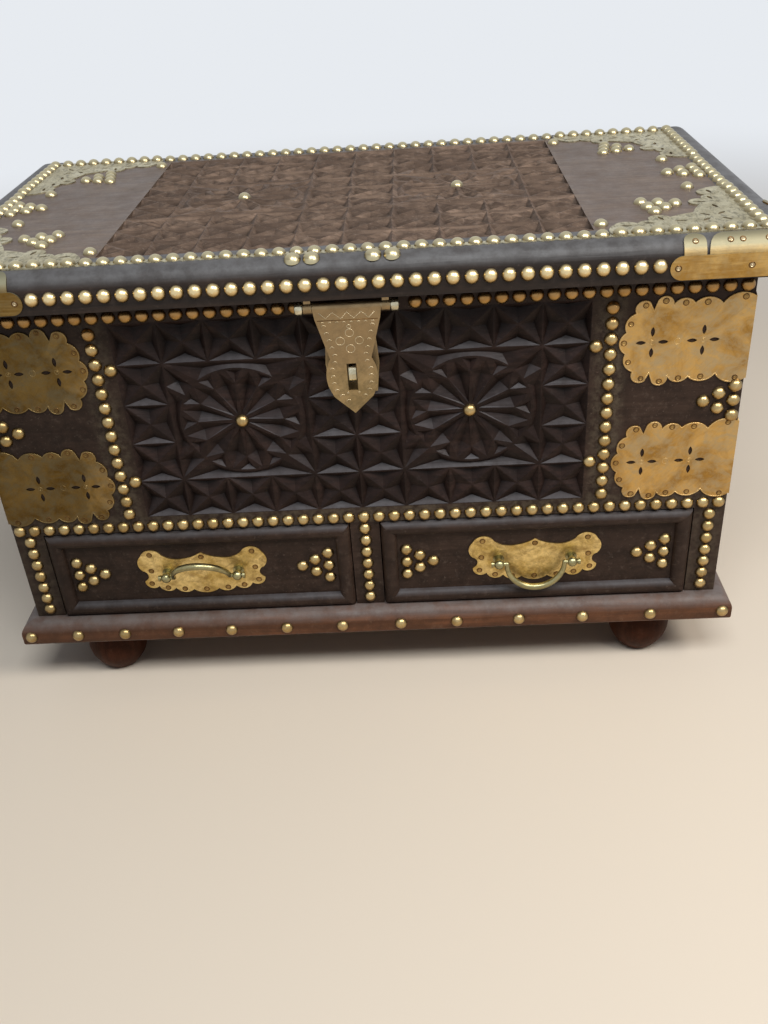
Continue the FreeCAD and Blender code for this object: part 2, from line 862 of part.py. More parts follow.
def strap_lobes():
    """The band's outline from above: a small round lobe, then the long flange with a rounded start."""
    front = lid_front_y - overrun
    back = lid_front_y + strap_top_width
    far = lid_side_x + overrun
    low = V(0, 0, lid_bottom)
    up = V(0, 0, lid_height + overrun)
    half = strap_lobe_width / 2
    middle = strap_nose_x + strap_lobe_start + half
    outline = [
        V(middle - half, front, 0) + low,
        V(middle - half, back - half, 0) + low,
        (V(middle, back, 0) + low, V(middle + half, back - half, 0) + low),
        V(middle + half, front, 0) + low,
    ]
    lobe = slab(outline, up)
    start = strap_nose_x + strap_flange_start
    rise = strap_flange_rise
    bend_share = math.sqrt(1 / 2)
    bend = V(start + rise * (1 - bend_share), back - (back - lid_front_y) * (1 - bend_share), 0)
    outline = [
        V(start, front, 0) + low,
        V(start, lid_front_y, 0) + low,
        (bend + low, V(start + rise, back, 0) + low),
        V(far, back, 0) + low,
        V(far, front, 0) + low,
    ]
    return lobe.fuse(slab(outline, up))


def strap_leg():
    """The leg along the front, cut at the lid's mitre."""
    leg = strap_flange().fuse(strap_band().common(strap_lobes())).removeSplitter()
    reach = strap_length + overrun
    out = sheet + strap_clearance
    low = V(0, 0, lid_bottom - overrun)
    keep = slab(
        [
            V(lid_side_x + out, lid_front_y - out, 0) + low,
            V(lid_side_x - reach, lid_front_y - out, 0) + low,
            V(lid_side_x - reach, lid_front_y + reach, 0) + low,
        ],
        V(0, 0, lid_height + 2 * overrun),
    )
    return leg.common(keep)


def make_straps():
    """A folded sheet over each front corner of the lid."""
    leg = strap_leg()
    side_leg = leg.mirror(V(lid_side_x, lid_front_y, 0), V(1, 1, 0))
    strap = leg.fuse(side_leg).removeSplitter()
    add("lid_strap_right", strap)
    add("lid_strap_left", mirrored(strap))


# Hasp

def eye_middle():
    """How far an eye's middle lies from the hasp's middle."""
    return hasp_barrel_half_length + hasp_end_play + hasp_eye_width / 2


def eye_top():
    """How high the eyes' shanks go inside the lid's edge."""
    return lid_top - lid_round / 2


def eye_holes():
    """Blind holes in the lid's front moulding for the eyes' shanks."""
    half = hasp_eye_shank / 2 + foot_tenon_clearance
    top = eye_top() + foot_tenon_clearance
    holes = []
    for s in (-1, 1):
        x = hasp_offset + s * eye_middle()
        holes.append(box(x - half, x + half, hasp_y - half, hasp_y + half, lid_bottom - overrun, top))
    return holes


def make_eyes():
    """Two eyes with square shanks that go up into the lid's edge."""
    half = hasp_eye_width / 2
    shank = hasp_eye_shank / 2
    eyes = []
    for s in (-1, 1):
        x = hasp_offset + s * eye_middle()
        ring = rod(hasp_eye_diameter / 2, V(x - half, hasp_y, hasp_z), V(x + half, hasp_y, hasp_z))
        stem = box(x - shank, x + shank, hasp_y - shank, hasp_y + shank, hasp_z, eye_top())
        eyes.append(ring.fuse(stem).cut(bar_bore(x, half)))
    add("hasp_eyes", *eyes)


def bar_bore(x, half):
    """The running hole for the hasp's bar."""
    radius = hasp_bar_diameter / 2 + hasp_running_clearance
    return rod(radius, V(x - half - overrun, hasp_y, hasp_z), V(x + half + overrun, hasp_y, hasp_z))


def make_bar():
    """The round bar that the hasp hangs from, with a knob at each end."""
    inner = eye_middle() + hasp_eye_width / 2 + hasp_end_play
    outer = inner + hasp_knob_length
    knob = hasp_knob_diameter / 2
    ends = [V(hasp_offset + s * outer, hasp_y, hasp_z) for s in (-1, 1)]
    bar = rod(hasp_bar_diameter / 2, *ends)
    for s in (-1, 1):
        start = V(hasp_offset + s * inner, hasp_y, hasp_z)
        end = V(hasp_offset + s * outer, hasp_y, hasp_z)
        head = rod(knob, start, end)
        bar = bar.fuse(head.makeFillet(hasp_knob_edge, [e for e in head.Edges if len(e.Vertexes) == 1]))
    add("hasp_bar", bar.removeSplitter())


# The hasp's right edge: shares of the whole drop below the bar and of the barrel's half length across
hasp_neck_shares = (0.087, 0.96)
hasp_waist_shares = (0.458, 0.62)
hasp_bulge_shares = (0.56, 0.755)
hasp_foot_shares = (0.735, 0.735)
hasp_shoulder_shares = (0.83, 0.6)


def make_hasp():
    """A slotted plate rolled round the bar. It leans back so that it hangs in balance."""
    barrel = hasp_barrel_diameter / 2
    half = hasp_barrel_half_length
    start = (0, 1.0)
    edge = [hasp_neck_shares, hasp_waist_shares, (hasp_bulge_shares, hasp_foot_shares), hasp_shoulder_shares]
    tip = (1.0, 0)
    steps = [start] + edge + [tip]
    steps.append((hasp_shoulder_shares[0], -hasp_shoulder_shares[1]))
    steps += mirrored_back(start, edge, lambda p: (p[0], -p[1]))

    def at(down_share, across_share):
        x = hasp_offset + across_share * half
        return V(x, hasp_y - barrel, hasp_z - down_share * hasp_tip_drop)

    plate = slab(section(steps, at), V(0, hasp_thickness, 0))
    slot = hasp_slot_width / 2
    low = hasp_z - hasp_slot_top - hasp_slot_height
    high = hasp_z - hasp_slot_top
    ahead = hasp_y - barrel - overrun
    behind = hasp_y + overrun
    plate = plate.cut(box(hasp_offset - slot, hasp_offset + slot, ahead, behind, low, high))
    roll = rod(barrel, V(hasp_offset - half, hasp_y, hasp_z), V(hasp_offset + half, hasp_y, hasp_z))
    hasp = plate.fuse(roll).cut(bar_bore(hasp_offset, half)).removeSplitter()
    hasp.rotate(V(hasp_offset, hasp_y, hasp_z), V(1, 0, 0), hasp_lean)
    add("hasp_plate", hasp)


def make_back_plate():
    """The plate on the case behind the hasp, with slots for the staple's legs."""
    levels = [
        (back_plate_top_half_width, hasp_z - back_plate_drop_top),
        (back_plate_half_width, hasp_z - back_plate_drop_wide),
        (back_plate_top_half_width, hasp_z - back_plate_drop_foot),
    ]
    outline = [V(hasp_offset + half, front_y, z) for half, z in levels]
    outline += [V(hasp_offset - half, front_y, z) for half, z in reversed(levels)]
    plate = slab(outline, V(0, -sheet, 0))
    add("hasp_back_plate", plate.cut(staple_shape()))


def staple_middle():
    """The height of the slot's middle when the hasp hangs."""
    lean = math.radians(hasp_lean)
    drop = hasp_slot_top + hasp_slot_height / 2
    ahead = (hasp_barrel_diameter - hasp_thickness) / 2
    return hasp_z - drop * math.cos(lean) - ahead * math.sin(lean)


def staple_stand():
    """How far the staple stands out: just short of the back of the hasp that hangs."""
    lean = math.radians(hasp_lean)
    lowest = hasp_slot_top + (hasp_slot_height + staple_height) / 2
    back = hasp_bar_forward + (hasp_barrel_diameter / 2 - hasp_thickness) * math.cos(lean)
    return back - lowest * math.sin(lean) - staple_clearance


def staple_shape():
    """An arch of flat strap, its legs sunk in the front."""
    half = staple_width / 2
    z = staple_middle()
    outer = staple_height / 2
    inner = outer - staple_strap
    stand = staple_stand()
    straight = front_y - stand + outer

    def at(y, up):
        return V(hasp_offset - half, y, z + up)

    sink = front_y + staple_sink
    outline = [
        at(sink, outer),
        at(straight, outer),
        (at(straight - outer, 0), at(straight, -outer)),
        at(sink, -outer),
        at(sink, -inner),
        at(straight, -inner),
        (at(straight - inner, 0), at(straight, inner)),
        at(sink, inner),
    ]
    return slab(outline, V(staple_width, 0, 0))


def make_staple():
    add("hasp_staple", staple_shape())


# Lid hinges

def hinge_leaf_shape(up, knuckles):
    """A leaf with its knuckles. It goes up on the lid or down on the case."""
    clear = hinge_radius + hinge_seat_clearance
    far = hinge_leaf_height
    z0, z1 = (hinge_z + clear, hinge_z + far) if up else (hinge_z - far, hinge_z - clear)
    leaf = box(-hinge_width / 2, hinge_width / 2, back_y, back_y + hinge_leaf, z0, z1)
    for x0, x1 in knuckles:
        tongue_z = (hinge_z, hinge_z + clear) if up else (hinge_z - clear, hinge_z)
        tongue_y = back_y + hinge_seat_clearance
        tongue = box(x0, x1, tongue_y, back_y + hinge_leaf, tongue_z[0], tongue_z[1])
        leaf = leaf.fuse([tongue, rod(hinge_radius, V(x0, hinge_y, hinge_z), V(x1, hinge_y, hinge_z))])
    bore = hinge_pin_diameter / 2 + hinge_running_clearance
    reach = hinge_width / 2 + overrun
    return leaf.cut(rod(bore, V(-reach, hinge_y, hinge_z), V(reach, hinge_y, hinge_z))).removeSplitter()


def make_hinges():
    """Two butt hinges of three knuckles, with their pins."""
    half = hinge_width / 2
    third = hinge_width / 3
    play = hinge_end_play / 2
    case_leaf = hinge_leaf_shape(False, [(-half, -half + third - play), (half - third + play, half)])
    lid_leaf = hinge_leaf_shape(True, [(-half + third + play, half - third - play)])
    pin = rod(hinge_pin_diameter / 2, V(-half, hinge_y, hinge_z), V(half, hinge_y, hinge_z))
    places = [-hinge_spacing / 2, hinge_spacing / 2]
    add("hinge_case_leaves", *[moved(case_leaf, x, 0, 0) for x in places])
    add("hinge_lid_leaves", *[moved(lid_leaf, x, 0, 0) for x in places])
    add("hinge_pins", *[moved(pin, x, 0, 0) for x in places])


# Drawers, modelled on the right and mirrored to the left

def make_drawer_front():
    """The flat board of the drawer's front."""
    board = box(
        drawer_inner_x,
        drawer_outer_x,
        drawer_face_y,
        drawer_face_y + drawer_front_thickness,
        drawer_bottom_z,
        drawer_top_z,
    )
    return [board]


def make_drawer_moulding():
    """Four half-round strips, mitred round the drawer's face."""
    wide = drawer_moulding_width
    tall = drawer_moulding_height
    half_x = (drawer_outer_x - drawer_inner_x) / 2
    half_z = (drawer_top_z - drawer_bottom_z) / 2
    middle_z = (drawer_top_z + drawer_bottom_z) / 2
    strips = []
    for turn in range(4):
        along_x = turn % 2 == 0
        reach, off = (half_x, half_z) if along_x else (half_z, half_x)
        profile = [
            V(-reach, 0, off),
            (V(-reach, -tall, off - wide / 2), V(-reach, 0, off - wide)),
        ]
        strip = slab(profile, V(2 * reach, 0, 0))
        keep = slab(
            [
                V(-reach, overrun, off),
                V(reach, overrun, off),
                V(reach - wide, overrun, off - wide),
                V(-reach + wide, overrun, off - wide),
            ],
            V(0, -tall - 2 * overrun, 0),
        )
        strip = strip.common(keep)
        strip.rotate(V(0, 0, 0), V(0, 1, 0), 90 * turn)
        strips.append(moved(strip, drawer_centre_x, drawer_face_y, middle_z))
    return strips


def drawer_box():
    """Sides, back and bottom behind the front."""
    y0 = drawer_face_y + drawer_front_thickness
    y1 = back_y - case_board - drawer_back_clearance
    x0, x1 = drawer_inner_x, drawer_outer_x
    side = drawer_side_thickness
    z0 = drawer_bottom_z
    z1 = drawer_top_z - drawer_side_drop
    low = z0 + drawer_bottom_rise
    high = low + drawer_bottom_thickness
    sides = [box(x0, x0 + side, y0, y1, z0, z1), box(x1 - side, x1, y0, y1, z0, z1)]
    back = [box(x0 + side, x1 - side, y1 - side, y1, z0, z1)]
    bottom = [box(x0 + side, x1 - side, y0, y1 - side, low, high)]
    return sides, back, bottom


# The handle plate's right edge, as shares of its half width and half height: crest and ear, then the foot
handle_crest_share = 0.86
handle_ear_shares = [
    ((0.14, 0.68), (0.28, 0.6)),
    ((0.46, 0.6), (0.62, 0.8)),
    ((0.8, 1.04), (0.95, 0.76)),
    ((1.01, 0.4), (0.95, 0.08)),
    ((0.88, -0.1), (0.9, -0.32)),
    (0.95, -0.42),
    ((0.86, -0.74), (0.74, -0.66)),
    ((0.6, -0.92), (0.48, -0.78)),
    ((0.34, -1.0), (0.2, -0.88)),
]
handle_foot_share = -1.06


def handle_plate():
    """The scalloped plate under the bail, with two ears and a low crest."""
    start = (0, handle_crest_share)
    last = handle_ear_shares[-1][1]
    steps = [start] + handle_ear_shares
    steps.append(((0, handle_foot_share), (-last[0], last[1])))
    steps += mirrored_back(start, handle_ear_shares, lambda p: (-p[0], p[1]))

    def at(across_share, up_share):
        x = drawer_centre_x + across_share * handle_plate_width / 2
        return V(x, drawer_face_y, handle_z + up_share * handle_plate_height / 2)

    return [slab(section(steps, at), V(0, -sheet, 0))]


def handle_post():
    """A turned post, flange, neck and ball, on the drawer's right handle plate, drawn about its own axis."""
    foot = handle_post_foot_diameter / 2
    neck = handle_post_neck_diameter / 2
    head = handle_post_head_diameter / 2
    reach = handle_pivot_forward - sheet
    profile = [
        V(0, 0, 0),
        V(foot, 0, 0),
        V(foot, -handle_post_foot_height, 0),
        V(neck, -handle_post_foot_height, 0),
        V(neck, math.sqrt(head * head - neck * neck) - reach, 0),
        (V(head, -reach, 0), V(0, -reach - head, 0)),
    ]
    return Part.Face(path(profile)).revolve(V(0, 0, 0), V(0, 1, 0), 360)


def handle_posts():
    """Two posts with a cross hole each for the bail's ends."""
    head = handle_post_head_diameter / 2
    bore = bail_pin_diameter / 2 + bail_running_clearance
    posts = []
    for s in (-1, 1):
        x = drawer_centre_x + s * handle_post_spacing / 2
        ends = [V(x + t * (head + overrun), handle_y, handle_z) for t in (-1, 1)]
        posts.append(moved(handle_post(), x, drawer_face_y - sheet, handle_z).cut(rod(bore, *ends)))
    return posts


def bail():
    """A hanging bow, thicker in the middle, with a short pin at each end that turns in its post."""
    head = handle_post_head_diameter / 2
    inner = handle_post_spacing / 2 - head - bail_end_gap - bail_end_diameter / 2
    outer = handle_post_spacing / 2 + head + bail_end_gap
    radius = (inner * inner + bail_drop * bail_drop) / (2 * bail_drop)
    reach = math.atan2(inner, radius - bail_drop)
    rings = []
    for i in range(bail_ring_count):
        share = i / (bail_ring_count - 1)
        angle = reach * (2 * share - 1)
        thick = bail_end_diameter + (bail_middle_diameter - bail_end_diameter) * math.sin(math.pi * share)
        centre = V(radius * math.sin(angle), 0, radius - bail_drop - radius * math.cos(angle))
        along = V(math.cos(angle), 0, math.sin(angle))
        rings.append(Part.Wire([Part.Circle(centre, along, thick / 2).toShape()]))
    solids = []
    for s in (-1, 1):
        tip = s * (outer + bail_cap_length)
        solids.append(Part.makeSphere(bail_end_diameter / 2, V(s * inner, 0, 0)))
        solids.append(rod(bail_pin_diameter / 2, V(s * inner, 0, 0), V(tip, 0, 0)))
        solids.append(rod(bail_cap_diameter / 2, V(s * outer, 0, 0), V(tip, 0, 0)))
    return Part.makeLoft(rings, True).fuse(solids).removeSplitter()


def make_bails():
    """The left bail is folded up over its plate, and the right one hangs."""
    hanging = moved(bail(), drawer_centre_x, handle_y, handle_z)
    add("drawer_right_bail", hanging)
    raised = bail()
    raised.rotate(V(0, 0, 0), V(1, 0, 0), -bail_raised_angle)
    add("drawer_left_bail", moved(raised, -drawer_centre_x, handle_y, handle_z))


def drawer_studs():
    """A triangle of studs at each end of the drawer's face, pointing at the handle."""
    studs = []
    inset = drawer_moulding_width + drawer_triangle_inset
    for s, edge in ((1, drawer_inner_x + inset), (-1, drawer_outer_x - inset)):
        for inward, along in triangle_places():
            studs.append(stud(edge + s * inward, drawer_face_y, handle_z + along, FRONT))
    return studs


def make_drawers():
    sides, back, bottom = drawer_box()
    pieces = {
        "front": make_drawer_front(),
        "moulding": make_drawer_moulding(),
        "sides": sides,
        "back": back,
        "bottom": bottom,
        "handle_plate": handle_plate(),
        "handle_posts": handle_posts(),
        "studs": drawer_studs(),
    }
    for name, shapes in pieces.items():
        add("drawer_right_" + name, *shapes)
        add("drawer_left_" + name, *[mirrored(shape) for shape in shapes])
    make_bails()


def build():
    make_feet()
    make_base_board()
    make_plinth()
    make_case()
    make_front_panel()
    make_case_studs()
    make_accent_studs()
    make_corner_plates()
    make_lid_mouldings()
    make_lid_board()
    make_lid_studs()
    make_lid_accent_studs()
    make_fret_plates()
    make_straps()
    make_eyes()
    make_bar()
    make_hasp()
    make_back_plate()
    make_staple()
    make_hinges()
    make_drawers()
    os.makedirs("parts", exist_ok=True)
    for node, solids in parts.items():
        shape = solids[0] if len(solids) == 1 else Part.makeCompound(solids)
        shape.exportStep(os.path.join("parts", node + ".step"))
        print(node, len(solids), "solids,", round(shape.Volume), "mm3, valid", shape.isValid())


build()
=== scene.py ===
"""Arabic dowry chest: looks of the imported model, with carved boards, brass work and small fittings.

Metres, in the model's own frame: +X to the right, +Y to the back, +Z up. Sizes named here are millimetres
unless a comment says metres, and turns are degrees unless it says radians.
"""

import json
import math
import random

import bmesh
import bpy
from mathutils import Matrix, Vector
from mathutils.geometry import delaunay_2d_cdt


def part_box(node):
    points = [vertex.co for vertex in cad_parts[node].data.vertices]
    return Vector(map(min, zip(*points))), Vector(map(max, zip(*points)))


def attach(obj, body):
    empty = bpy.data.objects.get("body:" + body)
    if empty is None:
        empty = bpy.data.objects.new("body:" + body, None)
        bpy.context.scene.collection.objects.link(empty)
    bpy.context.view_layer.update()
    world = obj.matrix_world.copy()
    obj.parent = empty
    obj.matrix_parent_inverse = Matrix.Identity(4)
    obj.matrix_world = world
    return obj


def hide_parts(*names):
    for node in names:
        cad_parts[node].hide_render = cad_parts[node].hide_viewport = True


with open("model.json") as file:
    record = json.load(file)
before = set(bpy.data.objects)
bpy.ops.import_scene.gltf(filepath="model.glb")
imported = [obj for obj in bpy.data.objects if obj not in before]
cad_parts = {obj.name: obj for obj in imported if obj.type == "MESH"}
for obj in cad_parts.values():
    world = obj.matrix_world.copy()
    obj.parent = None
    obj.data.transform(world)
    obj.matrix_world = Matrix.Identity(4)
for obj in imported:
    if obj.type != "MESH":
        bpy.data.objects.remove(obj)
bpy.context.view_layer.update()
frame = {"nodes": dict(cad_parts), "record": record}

MM = 0.001
nodes = frame["nodes"]

case_low, case_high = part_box("front_board")
front_y = case_low.y
lid_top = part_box("lid_board")[1].z
corner_signs = ((-1, -1), (1, -1), (1, 1), (-1, 1))


def add_object(name, data):
    made = bpy.data.objects.new(name, data)
    bpy.context.scene.collection.objects.link(made)
    return made


# Shader nodes

class Graph:
    """Shader nodes of a material or of the world."""

    def __init__(self, owner):
        owner.use_nodes = True
        self.tree = owner.node_tree

    def node(self, kind, **settings):
        made = self.tree.nodes.new("ShaderNode" + kind)
        for key, value in settings.items():
            setattr(made, key, value)
        return made

    def link(self, source, target):
        self.tree.links.new(source, target)

    def fill(self, value, socket):
        """Gives a socket a number, a colour or what another socket says."""
        if isinstance(value, tuple):
            socket.default_value = (*value, 1)
        elif isinstance(value, (int, float)):
            socket.default_value = value
        else:
            self.link(value, socket)

    def math(self, way, first, second=0.0):
        made = self.node("Math", operation=way)
        self.fill(first, made.inputs[0])
        self.fill(second, made.inputs[1])
        return made.outputs[0]

    def times(self, first, second):
        return self.math("MULTIPLY", first, second)

    def smooth(self, value, start, end, most=1.0):
        """0 at the start and most at the end, with a soft beginning and end."""
        made = self.node("MapRange", interpolation_type="SMOOTHSTEP")
        made.inputs["From Min"].default_value = start
        made.inputs["From Max"].default_value = end
        made.inputs["To Max"].default_value = most
        self.link(value, made.inputs["Value"])
        return made.outputs["Result"]

    def seen_rays(self):
        """1 for the rays that see the background: the camera's, reflections and what glass lets through."""
        rays = self.node("LightPath").outputs
        seen = self.math("MAXIMUM", rays["Is Camera Ray"], rays["Is Glossy Ray"])
        return self.math("MAXIMUM", seen, rays["Is Transmission Ray"])

    def glow(self, kind, colour, strength=1.0):
        """A shader that shines with a colour."""
        made = self.node(kind)
        made.inputs["Color"].default_value = (*colour, 1)
        made.inputs["Strength"].default_value = strength
        return made.outputs[0]

    def finish(self, share, first, second, out):
        """The output shows two shaders mixed by a share."""
        made = self.node("MixShader")
        for source, socket in zip((share, first, second), made.inputs):
            self.link(source, socket)
        self.link(made.outputs[0], out.inputs["Surface"])


class Finish(Graph):
    """Nodes of one material: its shader, its surface's place and which way it faces."""

    def __init__(self, name, base=(0.5, 0.5, 0.5), roughness=0.5, metallic=0.0):
        self.material = bpy.data.materials.new(name)
        super().__init__(self.material)
        self.shader = self.tree.nodes["Principled BSDF"]
        self.shader.inputs["Base Color"].default_value = (*base, 1)
        self.shader.inputs["Roughness"].default_value = roughness
        self.shader.inputs["Metallic"].default_value = metallic
        coords = self.node("TexCoord")
        self.place = coords.outputs["Object"]
        self.facing = coords.outputs["Normal"]
        self.base = base

    def parts(self, vector):
        """The three numbers of a vector."""
        made = self.node("SeparateXYZ")
        self.link(vector, made.inputs[0])
        return made.outputs

    def stretched(self, scale, turn=None):
        """Object coordinates, turned by radians if need be and then scaled by three factors."""
        place = self.place
        for name, values in (("Rotation", turn), ("Scale", scale)):
            if values:
                mapping = self.node("Mapping")
                mapping.inputs[name].default_value = values
                self.link(place, mapping.inputs["Vector"])
                place = mapping.outputs["Vector"]
        return place

    def noise(self, vector, kind, factor=1.0):
        """Noise of a kind (scale, detail, roughness, twist), its scale times a factor."""
        made = self.node("TexNoise")
        for name, value in zip(("Scale", "Detail", "Roughness", "Distortion"), kind):
            made.inputs[name].default_value = value
        made.inputs["Scale"].default_value = kind[0] * factor
        self.link(vector, made.inputs["Vector"])
        return made.outputs["Fac"]

    def fade(self, value, stops, last, first=0.0):
        """A grey that goes from the first to the last between two values."""
        made = self.node("ValToRGB")
        for element, position, grey in zip(made.color_ramp.elements, stops, (first, last)):
            element.position = position
            element.color = (grey, grey, grey, 1)
        self.link(value, made.inputs["Fac"])
        return made.outputs["Color"]

    def patches(self, kind, last, first=0.0):
        """A grey by noise, whose kind says the noise and the values between which it fades."""
        noise, stops = kind
        return self.fade(self.noise(self.place, noise), stops, last, first)

    def mix(self, share, first, second, way="MIX"):
        """Two colours, each a socket or a fixed colour, mixed by a socket or a number."""
        made = self.node("Mix", data_type="RGBA", blend_type=way)
        for value, socket in ((share, made.inputs[0]), (first, made.inputs[6]), (second, made.inputs[7])):
            self.fill(value, socket)
        return made.outputs[2]

    def cover(self, share, colour, way="MIX"):
        """Puts a colour over the colours so far, by a share."""
        self.base = self.mix(share, self.base, colour, way)

    def end(self, roughness, height, strength, distance):
        """Gives the shader the colours so far, its roughness and its bumps, and returns the material."""
        bump = self.node("Bump")
        bump.inputs["Strength"].default_value = strength
        bump.inputs["Distance"].default_value = distance
        self.link(height, bump.inputs["Height"])
        for value, name in ((self.base, "Base Color"), (roughness, "Roughness"), (bump.outputs[0], "Normal")):
            self.link(value, self.shader.inputs[name])
        return self.material


# Camera, floor and light

camera_place = Vector((44.26, -588.32, 512.34)) * MM + Vector((0, front_y, 0))
camera_turn = (57.7104, 3.4301, 0.7531)
camera_lens = 35.12
sensor_width = 36

# Metres: how near the camera sees, how far the floor reaches, and where it fades
nearest = 0.01
floor_reach = 6
floor_fade = (0.55, 1.9)
floor_colour = (0.74, 0.65, 0.54)
floor_roughness = 0.6
pale_colour = (0.80, 0.83, 0.87)
sky_colour = (0.9, 0.92, 1.0)
sky_strength = 0.12

# A broad lamp over the chest, a little to its front, and a softer warm one from the right:
# name, place, aim and size in metres, power, colour
lamps = [
    ("ceiling", (0.1, -0.98, 1.68), (0, 0, 0.15), (1.0, 0.5), 20, (0.93, 0.97, 1.0)),
    ("right", (0.95, -0.7, 1.25), (0.2, -0.1, 0.15), (0.5, 0.5), 15, (1.0, 0.94, 0.86)),
]


def make_camera():
    data = bpy.data.cameras.new("camera")
    data.sensor_width = sensor_width
    data.lens = camera_lens
    data.clip_start = nearest
    camera = add_object("camera", data)
    camera.location = camera_place
    camera.rotation_euler = [math.radians(a) for a in camera_turn]
    bpy.context.scene.camera = camera


def make_floor():
    """A plain pale floor that fades into the background away from the chest."""
    mesh = bpy.data.meshes.new("floor")
    mesh.from_pydata([(floor_reach * i, floor_reach * j, 0) for i, j in corner_signs], [], [(0, 1, 2, 3)])
    g = Finish("floor", floor_colour, floor_roughness)
    far = g.node("VectorMath", operation="LENGTH")
    g.link(g.place, far.inputs[0])
    share = g.times(g.smooth(far.outputs["Value"], *floor_fade), g.seen_rays())
    pale = g.glow("Emission", pale_colour)
    g.finish(share, g.shader.outputs["BSDF"], pale, g.tree.nodes["Material Output"])
    mesh.materials.append(g.material)
    floor = add_object("floor", mesh)


def make_lamp(name, place, aim, size, power, colour):
    data = bpy.data.lights.new(name, "AREA")
    data.shape = "RECTANGLE"
    data.size, data.size_y = size
    data.energy = power
    data.color = colour
    lamp = add_object(name, data)
    lamp.location = place
    lamp.rotation_euler = (Vector(aim) - Vector(place)).to_track_quat("-Z", "Y").to_euler()


def make_world():
    """A pale background, and a weak light from all round."""
    world = bpy.data.worlds.new("world")
    g = Graph(world)
    g.tree.nodes.clear()
    sky = g.glow("Background", sky_colour, sky_strength)
    g.finish(g.seen_rays(), sky, g.glow("Background", pale_colour), g.node("OutputWorld"))
    bpy.context.scene.world = world
    bpy.context.scene.view_settings.view_transform = "Standard"


# Materials

# Grain: how often it changes in a metre, along each axis
level_grain = (9.0, 9.0, 230.0)
along_x = (9.0, 230.0, 230.0)
along_y = (230.0, 9.0, 230.0)
along_z = (230.0, 230.0, 9.0)

# Noise in wood: scale, detail, roughness and twist, and the values between which it comes in
fibre_noise = (1, 8, 0.65, 0.4)
fibre_stops = (0.4, 0.62)
pore_noise = (1, 3, 0.5)
scratch_noise = (1, 4, 0.5)
scratch_stops = (0.64, 0.72)
blotches = ((22, 5, 0.6), (0.42, 0.62))
dark_spots = ((90, 8, 0.75, 0.3), (0.44, 0.62))
flecks = ((160, 8, 0.75), (0.55, 0.72))
film_patches = ((80, 8, 0.7), (0.36, 0.6))
residue_patches = ((150, 8, 0.75), (0.42, 0.6))
shine_patches = ((60, 6, 0.7), (0.3, 0.75))
blotch_share = 0.8
spot_shade = 0.4
film_least = 0.45

# Pores are finer than the grain, scratches run in one direction (radians), and a bump is its strength
# and its height in metres
pore_fineness = 4
scratch_scale = (30.0, 700.0, 700.0)
scratch_turn = (0.3, 0.2, 0.9)
fibre_height = 0.7
pore_height = 0.5
wood_bump = (0.5, 0.0006)

# Painted shade in the cuts: they are dark from a share of their depth on
chip_depth = 4.0
pit_shade_stops = (0.35, 0.95)
pit_shade_share = 0.8
pit_shade_factor = 0.3

# The left end is darker, as painted shade: metres from the middle, and shares of it where the shade starts
# and is full
left_reach = 0.25
wood_left_shade_stops = (0.2, 0.8)
left_shade_colour = (0.32, 0.33, 0.32)

# Old polish beside a row of studs: how far from it the polish is full, and where it ends
residue_colour = (0.088, 0.068, 0.047)
residue_reach = (5.5, 13.0)


def scaled(factor, values):
    return tuple(factor * value for value in values)


def near_lines(g, lines):
    """1 along lines on the front, and 0 some millimetres away from them."""
    near = None
    for axis, distance in lines:
        out = g.math("ABSOLUTE", g.parts(g.place)[axis])
        gap = g.math("ABSOLUTE", g.math("SUBTRACT", out, distance))
        here = g.smooth(gap, residue_reach[1] * MM, residue_reach[0] * MM)
        near = g.math("MAXIMUM", near, here) if near else here
    return near


def left_share(g):
    """0 at the middle of the chest, and 1 towards its left end."""
    return g.times(g.parts(g.place)[0], -1 / left_reach)


def wood(
    dark, light, dust, scale, shine=(0.38, 0.62), grain=1.0, wear=0.3, gloss=0.14, streak=1.0,
    mottle=0.35, up_sheen=None, residue=None, pits=None, left_shade=0.0,
):
    """Old dark wood: grain, blotches and scratches.

    streak is how much the grain shows and mottle how much the small dark spots do. The film where the wood
    faces up is a painted sheen of the light from above, given by its share and colour, and how far up it
    starts and is full.
    residue is the share of old polish beside the studs, and the lines (axis, distance from the middle) that
    it lies along. pits are the axis, level and way in which cuts go down from the surface, for painted shade
    that darkens them with depth. The last argument is how much darker the wood is painted at the far left, as
    painted shade.
    """
    g = Finish("wood")
    g.shader.inputs["Specular IOR Level"].default_value = gloss
    fibre = g.noise(g.stretched(scale), fibre_noise)
    pores = g.noise(g.stretched(scaled(pore_fineness, scale)), pore_noise)
    g.base = dark
    g.cover(g.fade(fibre, fibre_stops, streak), light)
    g.cover(g.patches(blotches, blotch_share), dark)
    g.cover(g.patches(dark_spots, mottle), scaled(spot_shade, dark))
    g.cover(g.patches(flecks, wear), dust)
    scratch = g.noise(g.stretched(scratch_scale, scratch_turn), scratch_noise)
    g.cover(g.fade(scratch, scratch_stops, wear), dust)
    # Painted sheen of the light from above, where the wood faces up
    if up_sheen:
        share, film, start, full = up_sheen
        up = g.fade(g.parts(g.facing)[2], (start, full), share)
        g.cover(g.times(up, g.patches(film_patches, 1.0, film_least)), film)
    if residue:
        share, lines = residue
        near = near_lines(g, lines) if lines else 1.0
        g.cover(g.times(g.patches(residue_patches, share), near), residue_colour)
    # Painted shade in the cuts: the deeper, the darker
    if pits:
        axis, level, way = pits
        depth = g.times(g.math("SUBTRACT", g.parts(g.place)[axis], level), way / (chip_depth * MM))
        g.cover(g.fade(depth, pit_shade_stops, pit_shade_share), scaled(pit_shade_factor, dark))
    # Painted shade, darker towards the left end
    if left_shade:
        g.cover(g.fade(left_share(g), wood_left_shade_stops, left_shade), left_shade_colour, "MULTIPLY")
    fibre = g.times(fibre, fibre_height * grain)
    height = g.math("ADD", fibre, g.times(pores, pore_height * grain))
    return g.end(g.patches(shine_patches, shine[1], shine[0]), height, *wood_bump)


